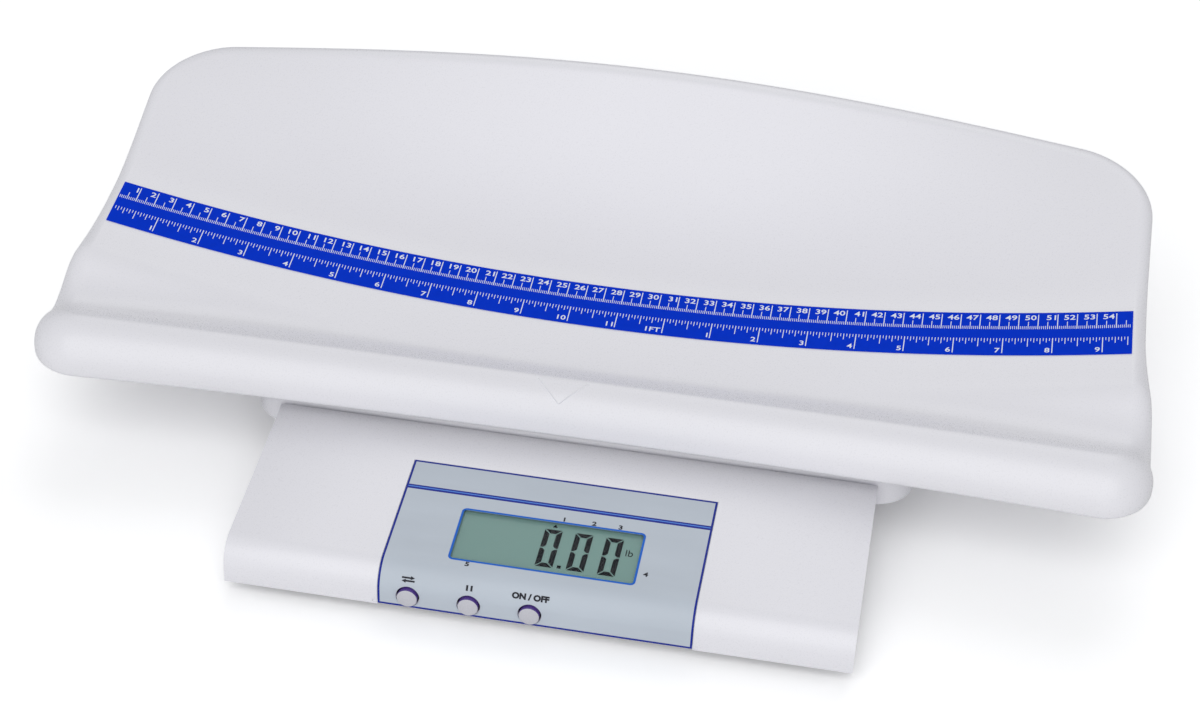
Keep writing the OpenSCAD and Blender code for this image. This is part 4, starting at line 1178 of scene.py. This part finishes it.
class BuildStage(bpy.types.Operator):
    """Pale floor, soft lights and the camera"""

    bl_idname = "baby_scale.stage"
    bl_label = "Stage"
    EYE = (0.15742, -1.04259, 0.80357)
    TURN, TILT, ROLL = (math.radians(d) for d in (8.5, 35.476, 2.679))

    def execute(self, context):
        scene = context.scene
        scene.view_settings.view_transform = "Standard"
        self.camera(scene)
        self.floor(scene)
        self.world(scene)
        self.lights(scene)
        return {"FINISHED"}

    def camera(self, scene):
        """The photo's camera: turned, tilted and rolled as its fit gave."""
        a, e, r = self.TURN, self.TILT, self.ROLL
        ahead = np.array([-math.sin(a)*math.cos(e), math.cos(a)*math.cos(e),
                          -math.sin(e)])
        right = np.array([math.cos(a), math.sin(a), 0.0])
        up = np.cross(right, ahead)
        right2 = math.cos(r)*right + math.sin(r)*up
        up2 = -math.sin(r)*right + math.cos(r)*up
        data = bpy.data.cameras.new("camera")
        data.sensor_width = 36.0
        data.sensor_fit = "HORIZONTAL"
        data.lens = scene.baby_stage.lens
        cam = bpy.data.objects.new("camera", data)
        m = np.eye(4)
        m[:3, 0], m[:3, 1], m[:3, 2], m[:3, 3] = right2, up2, -ahead, self.EYE
        cam.matrix_world = Matrix(m.tolist())
        scene.collection.objects.link(cam)
        scene.camera = cam

    def floor(self, scene):
        """A wide floor that the camera sees as white, with its shadows."""
        n = 3.0
        mesh = bpy.data.meshes.new("floor")
        mesh.from_pydata([(-n, -n, 0), (n, -n, 0), (n, n, 0), (-n, n, 0)], [],
                         [(0, 1, 2, 3)])
        floor = bpy.data.objects.new("floor", mesh)
        scene.collection.objects.link(floor)
        mat = bpy.data.materials.new("floor_white")
        mat.use_nodes = True
        t = mat.node_tree
        t.nodes.clear()
        shades = []
        for white in (0.80, scene.baby_stage.floor):
            diffuse = t.nodes.new("ShaderNodeBsdfDiffuse")
            diffuse.inputs["Color"].default_value = (white, white, white, 1)
            shades.append(diffuse)
        seen_mix(t, *shades, "ShaderNodeOutputMaterial")
        mesh.materials.append(mat)

    def world(self, scene):
        """White to the camera, softer as a light."""
        world = bpy.data.worlds.new("sky")
        scene.world = world
        world.use_nodes = True
        t = world.node_tree
        t.nodes.clear()
        soft = t.nodes.new("ShaderNodeBackground")
        soft.inputs["Color"].default_value = (0.97, 0.98, 1.0, 1)
        soft.inputs["Strength"].default_value = scene.baby_stage.sky
        white = t.nodes.new("ShaderNodeBackground")
        white.inputs["Color"].default_value = (1, 1, 1, 1)
        seen_mix(t, soft, white, "ShaderNodeOutputWorld")

    def lights(self, scene):
        """Broad soft suns: two from the front and one from behind."""
        p = scene.baby_stage
        for name, turn, rise, wide, power in (
                ("front", -90, 35, 70, p.front), ("high", -90, 50, 60, p.high),
                ("back", 90, 45, 40, p.back)):
            data = bpy.data.lights.new(name, "SUN")
            data.energy = power
            data.angle = math.radians(wide)
            az, el = math.radians(turn), math.radians(rise)
            lamp = bpy.data.objects.new(name, data)
            lamp.matrix_world = Vector((
                math.cos(el)*math.cos(az), math.cos(el)*math.sin(az),
                math.sin(el))).to_track_quat("Z", "Y").to_matrix().to_4x4()
            scene.collection.objects.link(lamp)


STEPS = (BuildTray, BuildTape, BuildHousing, BuildOverlay, BuildDisplay,
         BuildButtons, BuildInside, BuildStage)


class BabyScalePanel(bpy.types.Panel):
    """Sizes, colours and steps of the baby scale"""

    bl_idname = "VIEW3D_PT_baby_scale"
    bl_label = "Baby Scale"
    bl_space_type = "VIEW_3D"
    bl_region_type = "UI"
    bl_category = "Baby Scale"

    def draw(self, context):
        for key in GROUPS:
            box = self.layout.box()
            group = getattr(context.scene, key)
            for prop in group.bl_rna.properties:
                if prop.identifier not in ("rna_type", "name"):
                    box.prop(group, prop.identifier)
        for step in STEPS:
            self.layout.operator(step.bl_idname)


def register():
    """Registers the classes and hangs the property groups on the scene."""
    for cls in (*GROUPS.values(), *STEPS, BabyScalePanel):
        bpy.utils.register_class(cls)
    for key, cls in GROUPS.items():
        setattr(bpy.types.Scene, key, PointerProperty(type=cls))


def unregister():
    """Takes them away again."""
    for key in GROUPS:
        delattr(bpy.types.Scene, key)
    for cls in (BabyScalePanel, *STEPS[::-1], *GROUPS.values()):
        bpy.utils.unregister_class(cls)


def main():
    """Builds every piece in order."""
    register()
    for step in STEPS:
        group, name = step.bl_idname.split(".")
        getattr(getattr(bpy.ops, group), name)()


if __name__ == "__main__":
    main()
